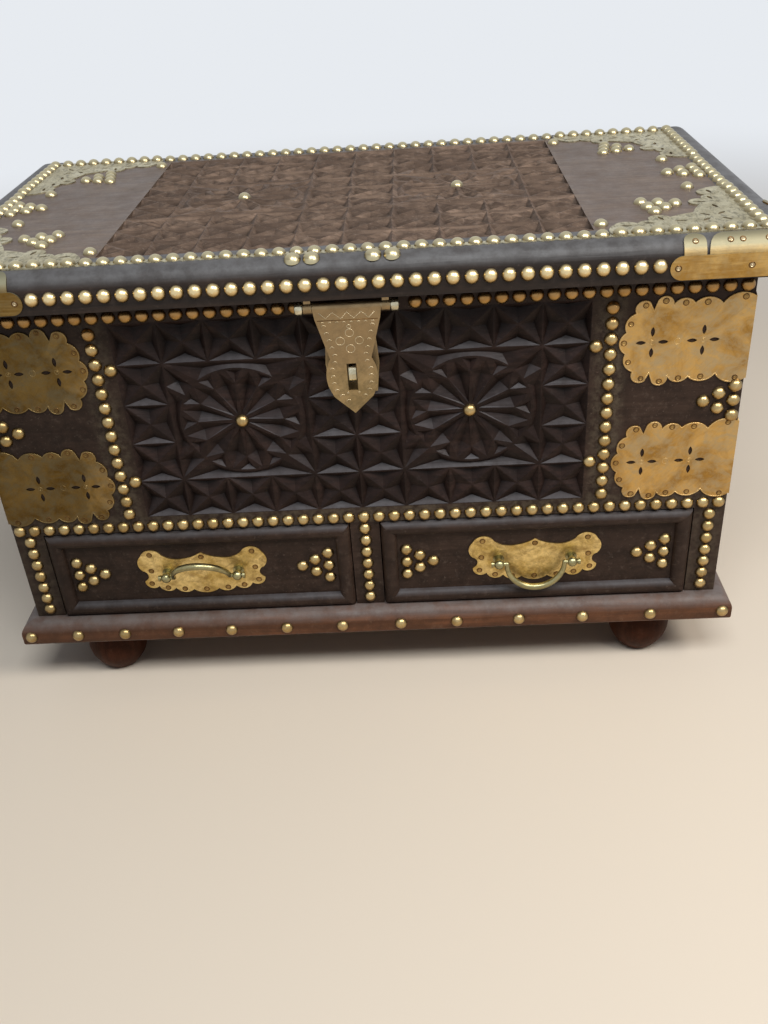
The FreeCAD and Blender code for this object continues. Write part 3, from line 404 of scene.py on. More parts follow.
# Noise in brass: scale, detail, roughness and twist
cloud_noise = (38, 6, 0.6, 0.8)
stain_noise = (1, 7, 0.65, 1.2)
fine_noise = (420, 5, 0.65)
patina_noise = (150, 8, 0.78, 0.4)
brush_noise = (1, 4, 0.5)
speck_noise = (1, 3, 0.7, 0.6)
dent_noise = (90, 4, 0.55)

# The values between which it comes in, and how much
cloud_stops = (0.4, 0.62)
stain_stops = (0.46, 0.66)
fine_stops = (0.6, 0.8)
fine_share = 0.5
patina_stops = (0.46, 0.62)
clean_stops = (0.36, 0.5)
clean_share = 0.7
bright_line_stops = (0.54, 0.68)
deep_line_stops = (0.32, 0.45)
speck_stops = (0.5, 0.62)
brass_shine_stops = (0.3, 0.7)
brass_left_shade_stops = (0.62, 0.86)
cloudy_edge = 0.2
brass_dust_stops = (0.1, 0.6)
dusty_share = 0.6
dusty_roughness = (0.75, 0.75, 0.75)
underside_reflection_stops = (0.0, 0.45)
foot_shade_stops = (0.3, 0.92)
fine_height = 0.12
line_height = 0.1

# Metres
dent_depth = 0.001

# Stretched noise, and the colours that every brass shares: small pits, and the painted shade round a dome's
# foot and painted reflection of the warm floor on its lower side
stain_scale = (60.0, 60.0, 85.0)
brush_scale = (70.0, 800.0, 800.0)
speck_scale = (430.0, 150.0, 430.0)
speck_colour = (0.11, 0.095, 0.06)
foot_shade_colour = (0.12, 0.08, 0.033)
underside_reflection_colour = (0.36, 0.215, 0.065)


def dome_facing(g):
    """How far a dome's surface faces along its nail: up on the lid's top, and forward elsewhere."""
    facing = g.parts(g.facing)
    on_top = g.math("GREATER_THAN", g.parts(g.place)[2], lid_top)
    forward = g.times(facing[1], g.math("SUBTRACT", on_top, 1.0))
    return g.math("ADD", forward, g.times(facing[2], on_top))


def brass(
    bright, deep, stain, shine=(0.2, 0.36), dents=0.2, tarnish=0.5, scale=1.0, brush=0.35,
    brush_turn=(0.5, 0.7, 0.5), mottle=0.4, left_shade=0.0, dust=None, bands=(), rim=0.0, specks=0.0,
):
    """Aged brass: clouds of two patinas, brushed lines, spots, pits and dents.

    brush is how much the lines show and brush_turn their turn (radians), mottle is how much the spots show,
    the argument after it is how much painted shade darkens the far left, dust the share and colour of a film
    where it faces up, bands are heights (start, end, share, colour) above which it changes colour, rim is how
    much a dome is darkened by painted shade round its foot and by a painted reflection of the warm floor on
    its lower side, and specks is how dark the small pits are.
    """
    g = Finish("brass", metallic=1.0)
    cloud = g.noise(g.place, cloud_noise, scale)
    second = g.noise(g.stretched(scaled(scale, stain_scale)), stain_noise)
    fine = g.noise(g.place, fine_noise, scale)
    g.base = bright
    g.cover(g.fade(cloud, cloud_stops, 1.0), deep)
    g.cover(g.fade(second, stain_stops, tarnish), stain)
    g.cover(g.fade(fine, fine_stops, fine_share * tarnish), stain)
    spots = g.noise(g.place, patina_noise, scale)
    g.cover(g.fade(spots, patina_stops, mottle), stain)
    g.cover(g.fade(spots, clean_stops, 0.0, clean_share * mottle), bright)
    brushed = g.noise(g.stretched(brush_scale, brush_turn), brush_noise)
    g.cover(g.fade(brushed, bright_line_stops, brush), bright)
    g.cover(g.fade(brushed, deep_line_stops, 0.0, brush), deep)
    if specks:
        pitted = g.noise(g.stretched(speck_scale), speck_noise)
        g.cover(g.fade(pitted, speck_stops, specks), speck_colour)
    # Painted shade, darker towards the left end, with a cloudy edge
    if left_shade:
        edge = g.math("ADD", left_share(g), g.times(cloud, cloudy_edge))
        g.cover(g.fade(edge, brass_left_shade_stops, left_shade), left_shade_colour, "MULTIPLY")
    for start, end, share, colour in bands:
        g.cover(g.smooth(g.parts(g.place)[2], start * MM, end * MM, share), colour)
    up = g.parts(g.facing)[2]
    if dust:
        share, film = dust
        g.cover(g.fade(up, brass_dust_stops, share), film)
    # Painted light on a dome: a darker, warm painted reflection of the floor on its lower side, and painted
    # shade round its foot
    if rim:
        g.cover(g.fade(g.times(up, -1.0), underside_reflection_stops, rim), underside_reflection_colour)
        g.cover(g.fade(dome_facing(g), foot_shade_stops, 0.0, rim), foot_shade_colour)
    rough = g.fade(second, brass_shine_stops, shine[1], shine[0])
    if dust:
        rough = g.mix(g.fade(up, brass_dust_stops, dusty_share), rough, dusty_roughness)
    height = g.math("ADD", g.noise(g.place, dent_noise, scale), g.times(fine, fine_height))
    height = g.math("ADD", height, g.times(brushed, line_height))
    return g.end(rough, height, dents, dent_depth)


# From the corner plates' ends to the stud columns, and from the drawers' top to the row above them
column_inset = 5.0
row_rise = 4.8


def stud_lines():
    """Where studs run on the front: the columns' distance from the middle, and a row's height."""
    plate_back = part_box("corner_plates_upper")[1].y
    column = case_high.x - (plate_back - front_y) - column_inset * MM
    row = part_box("drawer_left_front")[1].z + row_rise * MM
    return [(0, column), (2, row)]


# The case's wood and its film, a painted sheen of the light from above: share, colour, and how far up it
# faces where the film starts and is full
case_dark = (0.03, 0.0175, 0.0127)
case_light = (0.066, 0.04, 0.029)
case_dust = (0.17, 0.125, 0.1)
case_sheen = (0.9, (0.078, 0.073, 0.077), 0.2, 0.8)


def case_finish(**more):
    return wood(
        case_dark, case_light, case_dust, level_grain,
        streak=0.45, mottle=0.6, up_sheen=case_sheen, left_shade=0.45, **more,
    )


def make_woods():
    """The finish of every wooden slot in the record, and of the boards that the studs are in."""
    return {
        "case_wood": case_finish(),
        "front_wood": case_finish(residue=(0.85, stud_lines())),
        "stile_wood": case_finish(residue=(0.5, None)),
        # The film on up-facing facets is painted sheen, and the cuts get painted shade
        "carved_wood": wood(
            (0.0125, 0.0068, 0.0055), (0.034, 0.0185, 0.0148), (0.06, 0.045, 0.04), along_x,
            shine=(0.36, 0.55), gloss=0.13, streak=0.8, up_sheen=(0.95, (0.068, 0.062, 0.066), 0.36, 0.66),
            pits=(1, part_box("front_carved_panel")[0].y, 1),
        ),
        # The cuts get painted shade
        "lid_carved_wood": wood(
            (0.092, 0.062, 0.046), (0.26, 0.18, 0.132), (0.3, 0.24, 0.2), along_x,
            shine=(0.5, 0.75), grain=2.5, gloss=0.1, streak=0.8,
            pits=(2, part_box("lid_carved_panel")[1].z, -1),
        ),
        "lid_top_wood": wood(
            (0.088, 0.057, 0.04), (0.165, 0.114, 0.078), (0.24, 0.19, 0.16), along_x,
            gloss=0.5, streak=0.7,
        ),
        # The film along the moulding's upper side is painted sheen
        "lid_edge_wood": wood(
            (0.01, 0.0052, 0.003), (0.026, 0.0145, 0.009), (0.08, 0.06, 0.05), level_grain,
            shine=(0.42, 0.6), gloss=0.3, up_sheen=(1.0, (0.1, 0.098, 0.1), 0.2, 0.7),
        ),
        # The film where the plinth faces up is painted sheen, and its left end gets painted shade
        "plinth_wood": wood(
            (0.075, 0.028, 0.0115), (0.17, 0.064, 0.027), (0.22, 0.13, 0.08), level_grain,
            gloss=0.25, streak=0.7, up_sheen=(0.85, (0.155, 0.135, 0.128), 0.1, 0.9), left_shade=0.35,
        ),
        "foot_wood": wood(
            (0.038, 0.0125, 0.006), (0.09, 0.029, 0.0135), (0.1, 0.05, 0.03), along_z,
            gloss=0.06, streak=0.5,
        ),
        "inner_wood": wood((0.12, 0.075, 0.045), (0.24, 0.16, 0.1), (0.3, 0.22, 0.15), along_y),
    }


def make_brasses():
    """The finish of every brass slot in the record, and of single fittings that look unlike the rest."""
    return {
        "stud_brass": brass(
            (0.6, 0.45, 0.22), (0.42, 0.29, 0.12), (0.25, 0.165, 0.07), (0.25, 0.36),
            0.12, 0.5, left_shade=0.35, rim=0.75,
            bands=(
                # Painted shadow of the lid: darker copper from the case's top row up
                (268, 284, 0.75, (0.35, 0.17, 0.05)),
                # Painted highlight: the lid's front row paler and brighter
                (306, 312, 1.0, (0.8, 0.63, 0.34)),
                # Painted reflection of the pale room: the lid's top row paler and greyer
                (322, 327, 0.85, (0.5, 0.45, 0.29)),
            ),
        ),
        "plate_brass": brass(
            (0.57, 0.35, 0.115), (0.3, 0.155, 0.03), (0.42, 0.32, 0.18), (0.34, 0.5),
            0.3, 0.85, brush=0.15, mottle=0.5, left_shade=1.0, bands=((132, 122, 0.4, (0.7, 0.5, 0.21)),),
        ),
        "strap_brass": brass(
            (0.62, 0.39, 0.13), (0.36, 0.19, 0.04), (0.42, 0.3, 0.14), (0.3, 0.45),
            brush=0.6, brush_turn=(0.0, 0.0, 0.0), left_shade=0.75, dust=(0.92, (0.215, 0.205, 0.14)),
        ),
        "handle_brass": brass(
            (0.82, 0.62, 0.27), (0.5, 0.34, 0.1), (0.27, 0.17, 0.06), (0.3, 0.48),
            tarnish=0.75, scale=1.6, brush=0.12, mottle=0.45,
        ),
        "pale_brass": brass(
            (0.6, 0.55, 0.39), (0.46, 0.41, 0.265), (0.27, 0.23, 0.14), (0.4, 0.58),
            0.4, 0.7, specks=0.6,
        ),
        "hasp_brass": brass(
            (0.43, 0.31, 0.16), (0.31, 0.225, 0.11), (0.19, 0.145, 0.075), (0.34, 0.5),
            mottle=0.6, bands=((246, 266, 0.6, (0.29, 0.2, 0.11)),),
        ),
        "bar_brass": brass((0.74, 0.69, 0.52), (0.56, 0.5, 0.34), (0.28, 0.23, 0.13), (0.16, 0.3), 0.35),
        "bail_brass": brass((0.4, 0.36, 0.19), (0.28, 0.24, 0.12), (0.16, 0.14, 0.07), (0.24, 0.4)),
        "hinge_brass": brass((0.5, 0.36, 0.15), (0.36, 0.24, 0.09), (0.18, 0.12, 0.05), (0.3, 0.45)),
        "rim_brass": brass(
            (0.68, 0.48, 0.22), (0.44, 0.28, 0.1), (0.3, 0.2, 0.09), (0.3, 0.45), left_shade=0.9,
        ),
        "head_brass": brass(
            (0.44, 0.28, 0.1), (0.28, 0.16, 0.05), (0.16, 0.09, 0.035), (0.3, 0.45), left_shade=0.8,
        ),
        "nail_brass": brass((0.2, 0.11, 0.04), (0.12, 0.06, 0.022), (0.06, 0.035, 0.018), (0.35, 0.5)),
        "mark_brass": brass((0.62, 0.51, 0.34), (0.47, 0.37, 0.22), (0.3, 0.23, 0.13), (0.25, 0.4)),
    }


# Every finish, by its name
finishes = {**make_woods(), **make_brasses()}
for finish_name, finish_material in finishes.items():
    finish_material.name = finish_name

# Nodes whose finish differs from the rest of their slot
own_finish = {
    "front_board": "front_wood",
    "drawer_stiles": "stile_wood",
    "lid_strap_left": "strap_brass",
    "lid_strap_right": "strap_brass",
    "drawer_left_handle_plate": "handle_brass",
    "drawer_right_handle_plate": "handle_brass",
    "hasp_bar": "bar_brass",
    "hasp_staple": "bar_brass",
}


def dress_nodes():
    """Gives each CAD node its slot's finish, or its own."""
    for part in frame["record"]["subparts"]:
        finish = own_finish.get(part["node"], part["material_slot"])
        mesh = nodes[part["node"]].data
        mesh.materials.clear()
        mesh.materials.append(finishes[finish])


# Carved boards

# An outline's corners count as no sharper than corner_limit when it is drawn in
board_thickness = 6.0
edge_slack = 0.01
merge_distance = 0.001
corner_limit = 0.35

# Seed, land between cuts, and play of the cells' corners. Cells across and up, and the rosettes' first row.
front_cut = (11, 0.38, 0.35)
front_cells = (10, 5, 1)
lid_cut = (23, 0.16, 0.8)
lid_cells = (10, 9, 3)
rosette_cells = 3

# A cut's depth, and where its deepest point lies, as shares
depth_play = (0.82, 1.12)
pit_share = 0.3
pit_play = (0.85, 1.15)

# A notch in the board's edge
notch_depth = 3.4
notch_ends = (0.04, 0.96)
notch_tip = 0.08
mouth_play = (0.42, 0.58)

# A rosette: its petals with their valleys' radii and depths, the chips between their tips, and its circle
petal_count = 12
petal_play = 0.8
petal_tip = 39.5
petal_widest = 27.6
petal_start = 4.2
petal_valley = [(1.9 * petal_start, 1.0), (0.97 * petal_widest, chip_depth)]
tip_depth = 2.5
tip_steps = 4
circle_radius = 40.0

# The chips round the circle: degrees that they reach along it, and distances from the block's corners
level_chip = (43, 1.4)
upright_chip = (31, 17)
long_steps = 14
long_slope = 0.32
corner_turns = (32, 46)
corner_trims = (16, 1)


def inset(outline, gap):
    """A closed outline drawn in by a gap. The outline runs anticlockwise."""
    drawn = []
    count = len(outline)
    for i in range(count):
        here = outline[i]
        back = (here - outline[i - 1]).normalized()
        ahead = (outline[(i + 1) % count] - here).normalized()
        first = Vector((-back.y, back.x))
        second = Vector((-ahead.y, ahead.x))
        between = (first + second).normalized()
        drawn.append(here + between * (gap / max(corner_limit, between.dot(first))))
    return drawn


class Carving:
    """Cuts in a flat board, seen from its face: x across and y up from its middle, and depth."""

    def __init__(self, width, height, seed, land, play):
        self.land = land
        self.play = play
        self.width = width
        self.height = height
        self.places = []
        self.depths = []
        self.edges = []
        self.chance = random.Random(seed)
        rim = [self.point((width / 2 * i, height / 2 * j), 0) for i, j in corner_signs]
        self.line(rim + rim[:1])

    def point(self, place, depth):
        self.places.append(Vector(place))
        self.depths.append(depth)
        return len(self.places) - 1

    def line(self, points):
        self.edges += list(zip(points, points[1:]))

    def chip(self, outline, valley):
        """One cut: its outline on the surface, and the places and depths along its bottom."""
        rim = [self.point(place, 0) for place in inset(outline, self.land)]
        self.line(rim + rim[:1])
        share = self.chance.uniform(*depth_play)
        self.line([self.point(place, depth * share) for place, depth in valley])

    def triangle(self, first, second, apex):
        """A three-sided pit, deepest at a share of the way from its base to its apex."""
        pit = ((first + second) / 2).lerp(apex, pit_share * self.chance.uniform(*pit_play))
        self.chip([first, second, apex], [(pit, chip_depth)])

    def notch(self, first, second, apex):
        """A pit that runs out over the board's edge, on which its base lies."""
        ends = [first.lerp(second, share) for share in notch_ends]
        mouth = first.lerp(second, self.chance.uniform(*mouth_play))
        point = apex.lerp(mouth, notch_tip)
        start, tip, end = (self.point(place, 0) for place in (ends[0], point, ends[1]))
        low = self.point(mouth, notch_depth)
        pit = self.point(mouth.lerp(point, pit_share), chip_depth)
        self.line([start, tip, end, low, start])
        self.line([low, pit])

    def surface(self):
        """The points (x, y, depth) and faces of the cut surface."""
        spots, _, faces, sources = delaunay_2d_cdt(self.places, self.edges, [], 0, merge_distance)[:4]
        points = []
        for spot, source in zip(spots, sources):
            points.append((spot.x, spot.y, max([self.depths[i] for i in source], default=0)))
        return points, faces


class Rosette:
    """A circle of petals in a block of cells, as tall as its width times a flatness."""

    def __init__(self, carving, centre, half_wide, half_tall):
        self.carving = carving
        self.centre = Vector(centre)
        self.half_wide = half_wide
        self.half_tall = half_tall
        self.flat = half_tall / half_wide

    def at(self, radius, degrees):
        angle = math.radians(degrees)
        return self.centre + Vector((radius * math.cos(angle), radius * math.sin(angle) * self.flat))

    def arc(self, radius, start, end, steps):
        return [self.at(radius, start + (end - start) * i / steps) for i in range(steps + 1)]

    def carve(self):
        """Petals, the chips between their tips, and the chips between the circle and the block's edges."""
        step = 360 / petal_count
        play = self.carving.chance.uniform
        borders = [k * step + play(-petal_play, petal_play) for k in range(petal_count)]
        borders.append(borders[0] + 360)
        axes = [(a + b) / 2 for a, b in zip(borders, borders[1:])]
        waist = petal_widest / math.cos(math.radians(step / 2))
        for k in range(petal_count):
            axis = axes[k]
            outline = [self.at(petal_start, axis), self.at(waist, borders[k])]
            outline += [self.at(petal_tip, axis), self.at(waist, borders[k + 1])]
            self.carving.chip(outline, [(self.at(radius, axis), depth) for radius, depth in petal_valley])
            before = axes[k - 1] - (360 if k == 0 else 0)
            rim = self.arc(petal_tip, before, axis, tip_steps)
            pit = self.at((waist + 2 * petal_tip) / 3, borders[k])
            self.carving.chip(rim + [self.at(waist, borders[k])], [(pit, tip_depth)])
        for side in (-1, 1):
            self.carve_long_chip(Vector((0, side)), self.half_wide, self.half_tall, *level_chip)
            self.carve_long_chip(Vector((side, 0)), self.half_tall, self.half_wide, *upright_chip)
            for up in (-1, 1):
                self.carve_spandrel(side, up)

    def carve_long_chip(self, out, half, height, reach, trim):
        """A long chip between the circle and the block's edge, thin in its middle and thick near its ends."""
        across = Vector((out.y, -out.x))
        middle = math.degrees(math.atan2(out.y, out.x))
        arc = self.arc(circle_radius, middle + reach, middle - reach, long_steps)
        edge = self.centre + out * height
        valley = []
        for place in arc[2:-2]:
            gap = height - (place - self.centre).dot(out)
            valley.append((place + out * gap / 2, min(chip_depth, long_slope * gap)))
        ends = [edge + across * (half - trim), edge - across * (half - trim)]
        self.carving.chip(ends + arc, valley)

    def carve_spandrel(self, side, up):
        """A chip in a corner of the block, between the ends of two long chips."""
        first, last = (self.at(circle_radius, turn) - self.centre for turn in corner_turns)
        ends = [Vector((self.half_wide, self.half_tall - trim)) for trim in corner_trims]
        outline = [self.centre + Vector((place.x * side, place.y * up)) for place in (first, *ends, last)]
        pit = sum(outline, Vector((0, 0))) / 4
        if side * up < 0:
            outline.reverse()
        self.carving.chip(outline, [(pit, chip_depth)])


def carve_board(carving, columns, rows, first_row, open_sides):
    """Two rosettes, each in a square block of cells, and four triangular chips in every other cell."""
    width, height, uniform = carving.width, carving.height, carving.chance.uniform
    wide, tall = width / columns, height / rows
    block = range(rosette_cells)
    half = rosette_cells / 2
    taken = set()
    for first_column in (1, columns - rosette_cells - 1):
        taken |= {(first_column + i, first_row + j) for i in block for j in block}
        x = (first_column + half) * wide - width / 2
        y = (first_row + half) * tall - height / 2
        Rosette(carving, (x, y), half * wide, half * tall).carve()
    corners = {}
    for i in range(columns + 1):
        for j in range(rows + 1):
            play = carving.play if 0 < i < columns and 0 < j < rows else 0
            x = i * wide - width / 2 + uniform(-play, play)
            y = j * tall - height / 2 + uniform(-play, play)
            corners[i, j] = Vector((x, y))
    play = carving.play
    cells = {(i, j) for i in range(columns) for j in range(rows)}
    for i, j in sorted(cells - taken):
        ring = [corners[i, j], corners[i + 1, j], corners[i + 1, j + 1], corners[i, j + 1]]
        middle = sum(ring, Vector((0, 0))) / 4 + Vector([uniform(-play, play) for _ in range(2)])
        for k in range(4):
            at_edge = (i == 0 and k == 3) or (i == columns - 1 and k == 1)
            cut = carving.notch if open_sides and at_edge else carving.triangle
            cut(ring[k], ring[(k + 1) % 4], middle)


class Face:
    """A flat face to work on. Places are millimetres across and up from its start."""

    def __init__(self, start, across, up, out):
        self.start = Vector(start)
        self.across = Vector(across)
        self.up = Vector(up)
        self.out = Vector(out)

    def at(self, x, y, height=0.0):
        return self.start + (self.across * x + self.up * y + self.out * height) * MM


def make_board(ground, width, height, cut, cells, open_sides=False):
    """A closed board whose face is carved. The uncut face is a Face, the ground."""
    carving = Carving(width, height, *cut)
    carve_board(carving, *cells, open_sides)
    points, faces = carving.surface()
    mesh = bmesh.new()
    verts = [mesh.verts.new(ground.at(x, y, -depth)) for x, y, depth in points]
    for face in faces:
        mesh.faces.new([verts[i] for i in face])
    x, y = width / 2, height / 2
    back = [mesh.verts.new(ground.at(x * i, y * j, -board_thickness)) for i, j in corner_signs]
    # Each side: the axis that it faces along, its place on that axis, and the way it runs along the other
    for k, (axis, level, way) in enumerate(((1, -y, 1), (0, x, 1), (1, y, -1), (0, -x, -1))):
        along = [i for i, spot in enumerate(points) if abs(spot[axis] - level) < edge_slack]
        along.sort(key=lambda i: points[i][1 - axis] * way)
        mesh.faces.new([verts[i] for i in along] + [back[(k + 1) % 4], back[k]])
    mesh.faces.new(back)
    return mesh


def add_piece(name, mesh, finish, body, smooth=True):
    """Makes a piece of a bmesh, its normals outward, with its finish and its body."""
    bmesh.ops.recalc_face_normals(mesh, faces=mesh.faces)
    data = bpy.data.meshes.new(name)
    mesh.to_mesh(data)
    mesh.free()
    for face in data.polygons:
        face.use_smooth = smooth
    data.materials.append(finishes[finish])
    piece = add_object(name, data)
    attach(piece, body)
    return piece


def make_front_carving():
    """The front's carved field."""
    low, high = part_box("front_carved_panel")
    middle = (low + high) / 2
    ground = Face((middle.x, low.y, middle.z), (1, 0, 0), (0, 0, 1), (0, -1, 0))
    board = make_board(ground, (high.x - low.x) / MM, (high.z - low.z) / MM, front_cut, front_cells)
    board = add_piece("front_carving", board, "carved_wood", "case", False)
    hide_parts("front_carved_panel")


def make_lid_carving():
    """The lid's carved field, whose cuts run out over its left and right edges."""
    low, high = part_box("lid_carved_panel")
    middle = (low + high) / 2
    ground = Face((middle.x, middle.y, high.z), (1, 0, 0), (0, 1, 0), (0, 0, 1))
    board = make_board(ground, (high.x - low.x) / MM, (high.y - low.y) / MM, lid_cut, lid_cells, True)
    board = add_piece("lid_carving", board, "lid_carved_wood", "lid", False)
    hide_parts("lid_carved_panel")


# Small brass work on faces: rims, nails and punched marks. A bead is (half width, height), and a ringed
# nail is (radius, the ring's radius, the ring's bead).

bead_section = [(-1.0, -0.4), (-0.7, 0.65), (0.0, 1.0), (0.7, 0.65), (1.0, -0.4)]
nail_profile = [(1.0, -0.1), (0.95, 0.28), (0.74, 0.36), (0.5, 0.16), (0.3, 0.3)]
nail_sides = 12
ring_steps = 14


def skin(mesh, rings, closed=False):
    """Faces from each ring of corners to the next. Ends that don't meet are closed with a face."""
    pairs = list(zip(rings, rings[1:]))
    if closed:
        pairs.append((rings[-1], rings[0]))
    for first, second in pairs:
        for k in range(len(first)):
            j = (k + 1) % len(first)
            mesh.faces.new([first[k], first[j], second[j], second[k]])
    if not closed:
        mesh.faces.new(rings[0])
        mesh.faces.new(rings[-1])


def add_bead(mesh, face, path, bead, closed=False):
    """A low rounded ridge along a path."""
    half_width, height = bead
    count = len(path)
    rings = []
    for i in range(count):
        here = Vector(path[i])
        before = Vector(path[i - 1]) if closed or i > 0 else here
        after = Vector(path[(i + 1) % count]) if closed or i < count - 1 else here
        along = (after - before).normalized()
        ring = []
        for wide, high in bead_section:
            x = here.x - along.y * wide * half_width
            y = here.y + along.x * wide * half_width
            ring.append(mesh.verts.new(face.at(x, y, high * height)))
        rings.append(ring)
    skin(mesh, rings, closed)


def ring_path(place, radius, start=0, end=360, steps=ring_steps):
    """Places along a circle, or along a part of it."""
    count = steps if end - start >= 360 else steps + 1
    path = []
    for i in range(count):
        angle = math.radians(start + (end - start) * i / steps)
        path.append((place[0] + radius * math.cos(angle), place[1] + radius * math.sin(angle)))
    return path


def add_ring(mesh, face, place, radius, bead, steps=ring_steps):
    add_bead(mesh, face, ring_path(place, radius, steps=steps), bead, True)


def add_nail(mesh, face, place, radius):
    """A flat nail head with a dimple."""
    rings = []
    for share, height in nail_profile:
        ring = ring_path(place, radius * share, steps=nail_sides)
        rings.append([mesh.verts.new(face.at(x, y, height)) for x, y in ring])
    skin(mesh, rings)


def add_ringed_nail(nails, rings, face, place, radius, ring, bead):
    add_nail(nails, face, place, radius)
    add_ring(rings, face, place, ring, bead)


def arc_through(start, middle, end, steps):
    """Places on the circle through three points, after the first point."""
    a, b, c = (Vector(place) for place in (start, middle, end))
    double = 2 * (a.x * (b.y - c.y) + b.x * (c.y - a.y) + c.x * (a.y - b.y))
    squares = (a.length_squared, b.length_squared, c.length_squared)
    x = sum(square * rise for square, rise in zip(squares, (b.y - c.y, c.y - a.y, a.y - b.y)))
    y = sum(square * run for square, run in zip(squares, (c.x - b.x, a.x - c.x, b.x - a.x)))
    centre = Vector((x / double, y / double))
    radius = (a - centre).length
    turns = [math.atan2(place.y - centre.y, place.x - centre.x) for place in (a, b, c)]
    whole = 2 * math.pi
    to_middle = (turns[1] - turns[0]) % whole
    to_end = (turns[2] - turns[0]) % whole
    sweep = to_end if to_middle < to_end else to_end - whole
    path = []
    for i in range(1, steps + 1):
        angle = turns[0] + sweep * i / steps
        path.append(centre + Vector((math.cos(angle), math.sin(angle))) * radius)
    return path


# A corner plate's scalloped edge, by shares of its reach from the corner and of its half height:
# lobes, each with a place on it and its end, and straight parts with only their end
leaf_start_share = 0.92
leaf_lobes = [
    [(0.075, 1.0), (0.235, 0.79)],
    [(0.35, 0.94), (0.445, 0.83)],
    [(0.52, 0.94), (0.605, 0.81)],
    [(0.665, 1.0), (0.728, 0.90)],
    [(0.752, 0.71)],
    [(0.782, 0.88)],
    [(0.825, 0.92), (0.885, 0.65)],
    [(0.95, 0.5), (0.95, 0.24)],
]
arc_steps = 7

# Its work: rim, nails and their rings
rim_inset = 0.5
rim_bead = (0.34, 0.18)
lobe_nail_inset = 3.1
lobe_nail_radius = 1.3
lobe_nail_middle = 0.74
lobe_nail_play = 0.3
lobe_nail_sizes = (0.95, 1.15)
lobe_ring_gap = 0.35
lobe_ring_bead = (0.36, 0.14)
punch_bead = (0.24, 0.14)
# Punched rings: share of the reach, radius and steps
punches = [(0.356, 1.5, 14), (0.356, 0.55, 8), (0.748, 1.5, 14), (0.748, 0.55, 8), (0.552, 2.0, 16)]
plate_seed = 5


def leaf_outline(reach, half):
    """The edge of a leaf from the corner's top end round to its bottom end."""
    upper = [Vector((0, leaf_start_share * half))]
    for lobe in leaf_lobes:
        places = [Vector((x * reach, y * half)) for x, y in lobe]
        upper += arc_through(upper[-1], *places, arc_steps) if len(places) > 1 else places
    lower = [Vector((place.x, -place.y)) for place in reversed(upper)]
    nose = arc_through(upper[-1], (reach, 0), lower[0], arc_steps)
    return upper + nose[:-1] + lower


def leaf_nails(reach, half):
    """A nail's place in every lobe of a leaf."""
    tips = [lobe[0] for lobe in leaf_lobes if len(lobe) > 1]
    tips += [(x, -y) for x, y in tips] + [(1.0, 0.0)]
    places = []
    for x, y in tips:
        tip = Vector((x * reach, y * half))
        middle = Vector((min(x, lobe_nail_middle) * reach, 0))
        places.append(tip + (middle - tip).normalized() * lobe_nail_inset)
    return places


def corner_plate_faces():
    """The faces of the plates' front and side leaves, with their reach and half height."""
    faces = []
    for node in ("corner_plates_upper", "corner_plates_lower"):
        low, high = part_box(node)
        z = (low.z + high.z) / 2
        half = (high.z - low.z) / 2 / MM
        reach = (high.y - front_y) / MM
        for side in (-1, 1):
            edge = high.x if side > 0 else low.x
            front = Face((side * case_high.x, low.y, z), (-side, 0, 0), (0, 0, 1), (0, -1, 0))
            flank = Face((edge, front_y, z), (0, 1, 0), (0, 0, 1), (side, 0, 0))
            faces += [(front, reach, half), (flank, reach, half)]
    return faces


def make_corner_plate_work():
    """A rim along the scalloped edge, a nail in every lobe, and punched marks."""
    rims, nails, rings, marks = (bmesh.new() for _ in range(4))
    chance = random.Random(plate_seed)
    for face, reach, half in corner_plate_faces():
        outline = leaf_outline(reach, half)
        drawn = inset(list(reversed(outline)), rim_inset)
        add_bead(rims, face, drawn[1:-1], rim_bead)
        for place in leaf_nails(reach, half):
            place = place + Vector([chance.uniform(-lobe_nail_play, lobe_nail_play) for _ in range(2)])
            radius = lobe_nail_radius * chance.uniform(*lobe_nail_sizes)
            add_ringed_nail(nails, rings, face, place, radius, radius + lobe_ring_gap, lobe_ring_bead)
        for share, radius, steps in punches:
            add_ring(marks, face, (share * reach, 0), radius, punch_bead, steps)
    add_piece("corner_plate_rims", rims, "rim_brass", "case")
    add_piece("corner_plate_nails", nails, "head_brass", "case", False)
    add_piece("corner_plate_nail_rings", rings, "nail_brass", "case")
    add_piece("corner_plate_marks", marks, "rim_brass", "case")


# Nails of a handle plate, one side: shares of its half width and half height
handle_nail_shares = [(0.79, 0.79), (0.81, 0.07), (0.84, -0.5), (0.6, -0.72), (0.34, -0.8)]
handle_middle_shares = [(0, 0.62), (0, -0.84)]
handle_nail = (1.5, 1.8, (0.4, 0.16))


def make_handle_plate_work():
    """Nails round the handle plates."""
    for side in ("left", "right"):
        low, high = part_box("drawer_%s_handle_plate" % side)
        posts_low, posts_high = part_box("drawer_%s_handle_posts" % side)
        middle = (posts_low + posts_high) / 2
        face = Face((middle.x, low.y, middle.z), (1, 0, 0), (0, 0, 1), (0, -1, 0))
        wide = (high.x - low.x) / 2 / MM
        tall = (high.z - low.z) / 2 / MM
        nails, rings = bmesh.new(), bmesh.new()
        places = handle_nail_shares + [(-x, y) for x, y in handle_nail_shares] + handle_middle_shares
        for x, y in places:
            add_ringed_nail(nails, rings, face, (x * wide, y * tall), *handle_nail)
        body = "drawer_" + side
        add_piece(body + "_plate_nails", nails, "head_brass", body, False)
        add_piece(body + "_plate_nail_rings", rings, "nail_brass", body)


# Nails of a strap's leg, by their distance from its nose, and how far in from the edge those on top lie
strap_front_nails = (4.6, 46.6, 70.0)
strap_front_nail = (1.3, 1.75, (0.4, 0.2))
strap_top_nails = (14.0, 34.0, 41.0, 55.6, 74.0)
strap_top_nail = (1.17, 1.6, (0.36, 0.2))
strap_top_nail_depth = 4.3
strap_height = 14.5
strap_length = 81.5
lid_round = 12.0
strap_sheet = 1.0


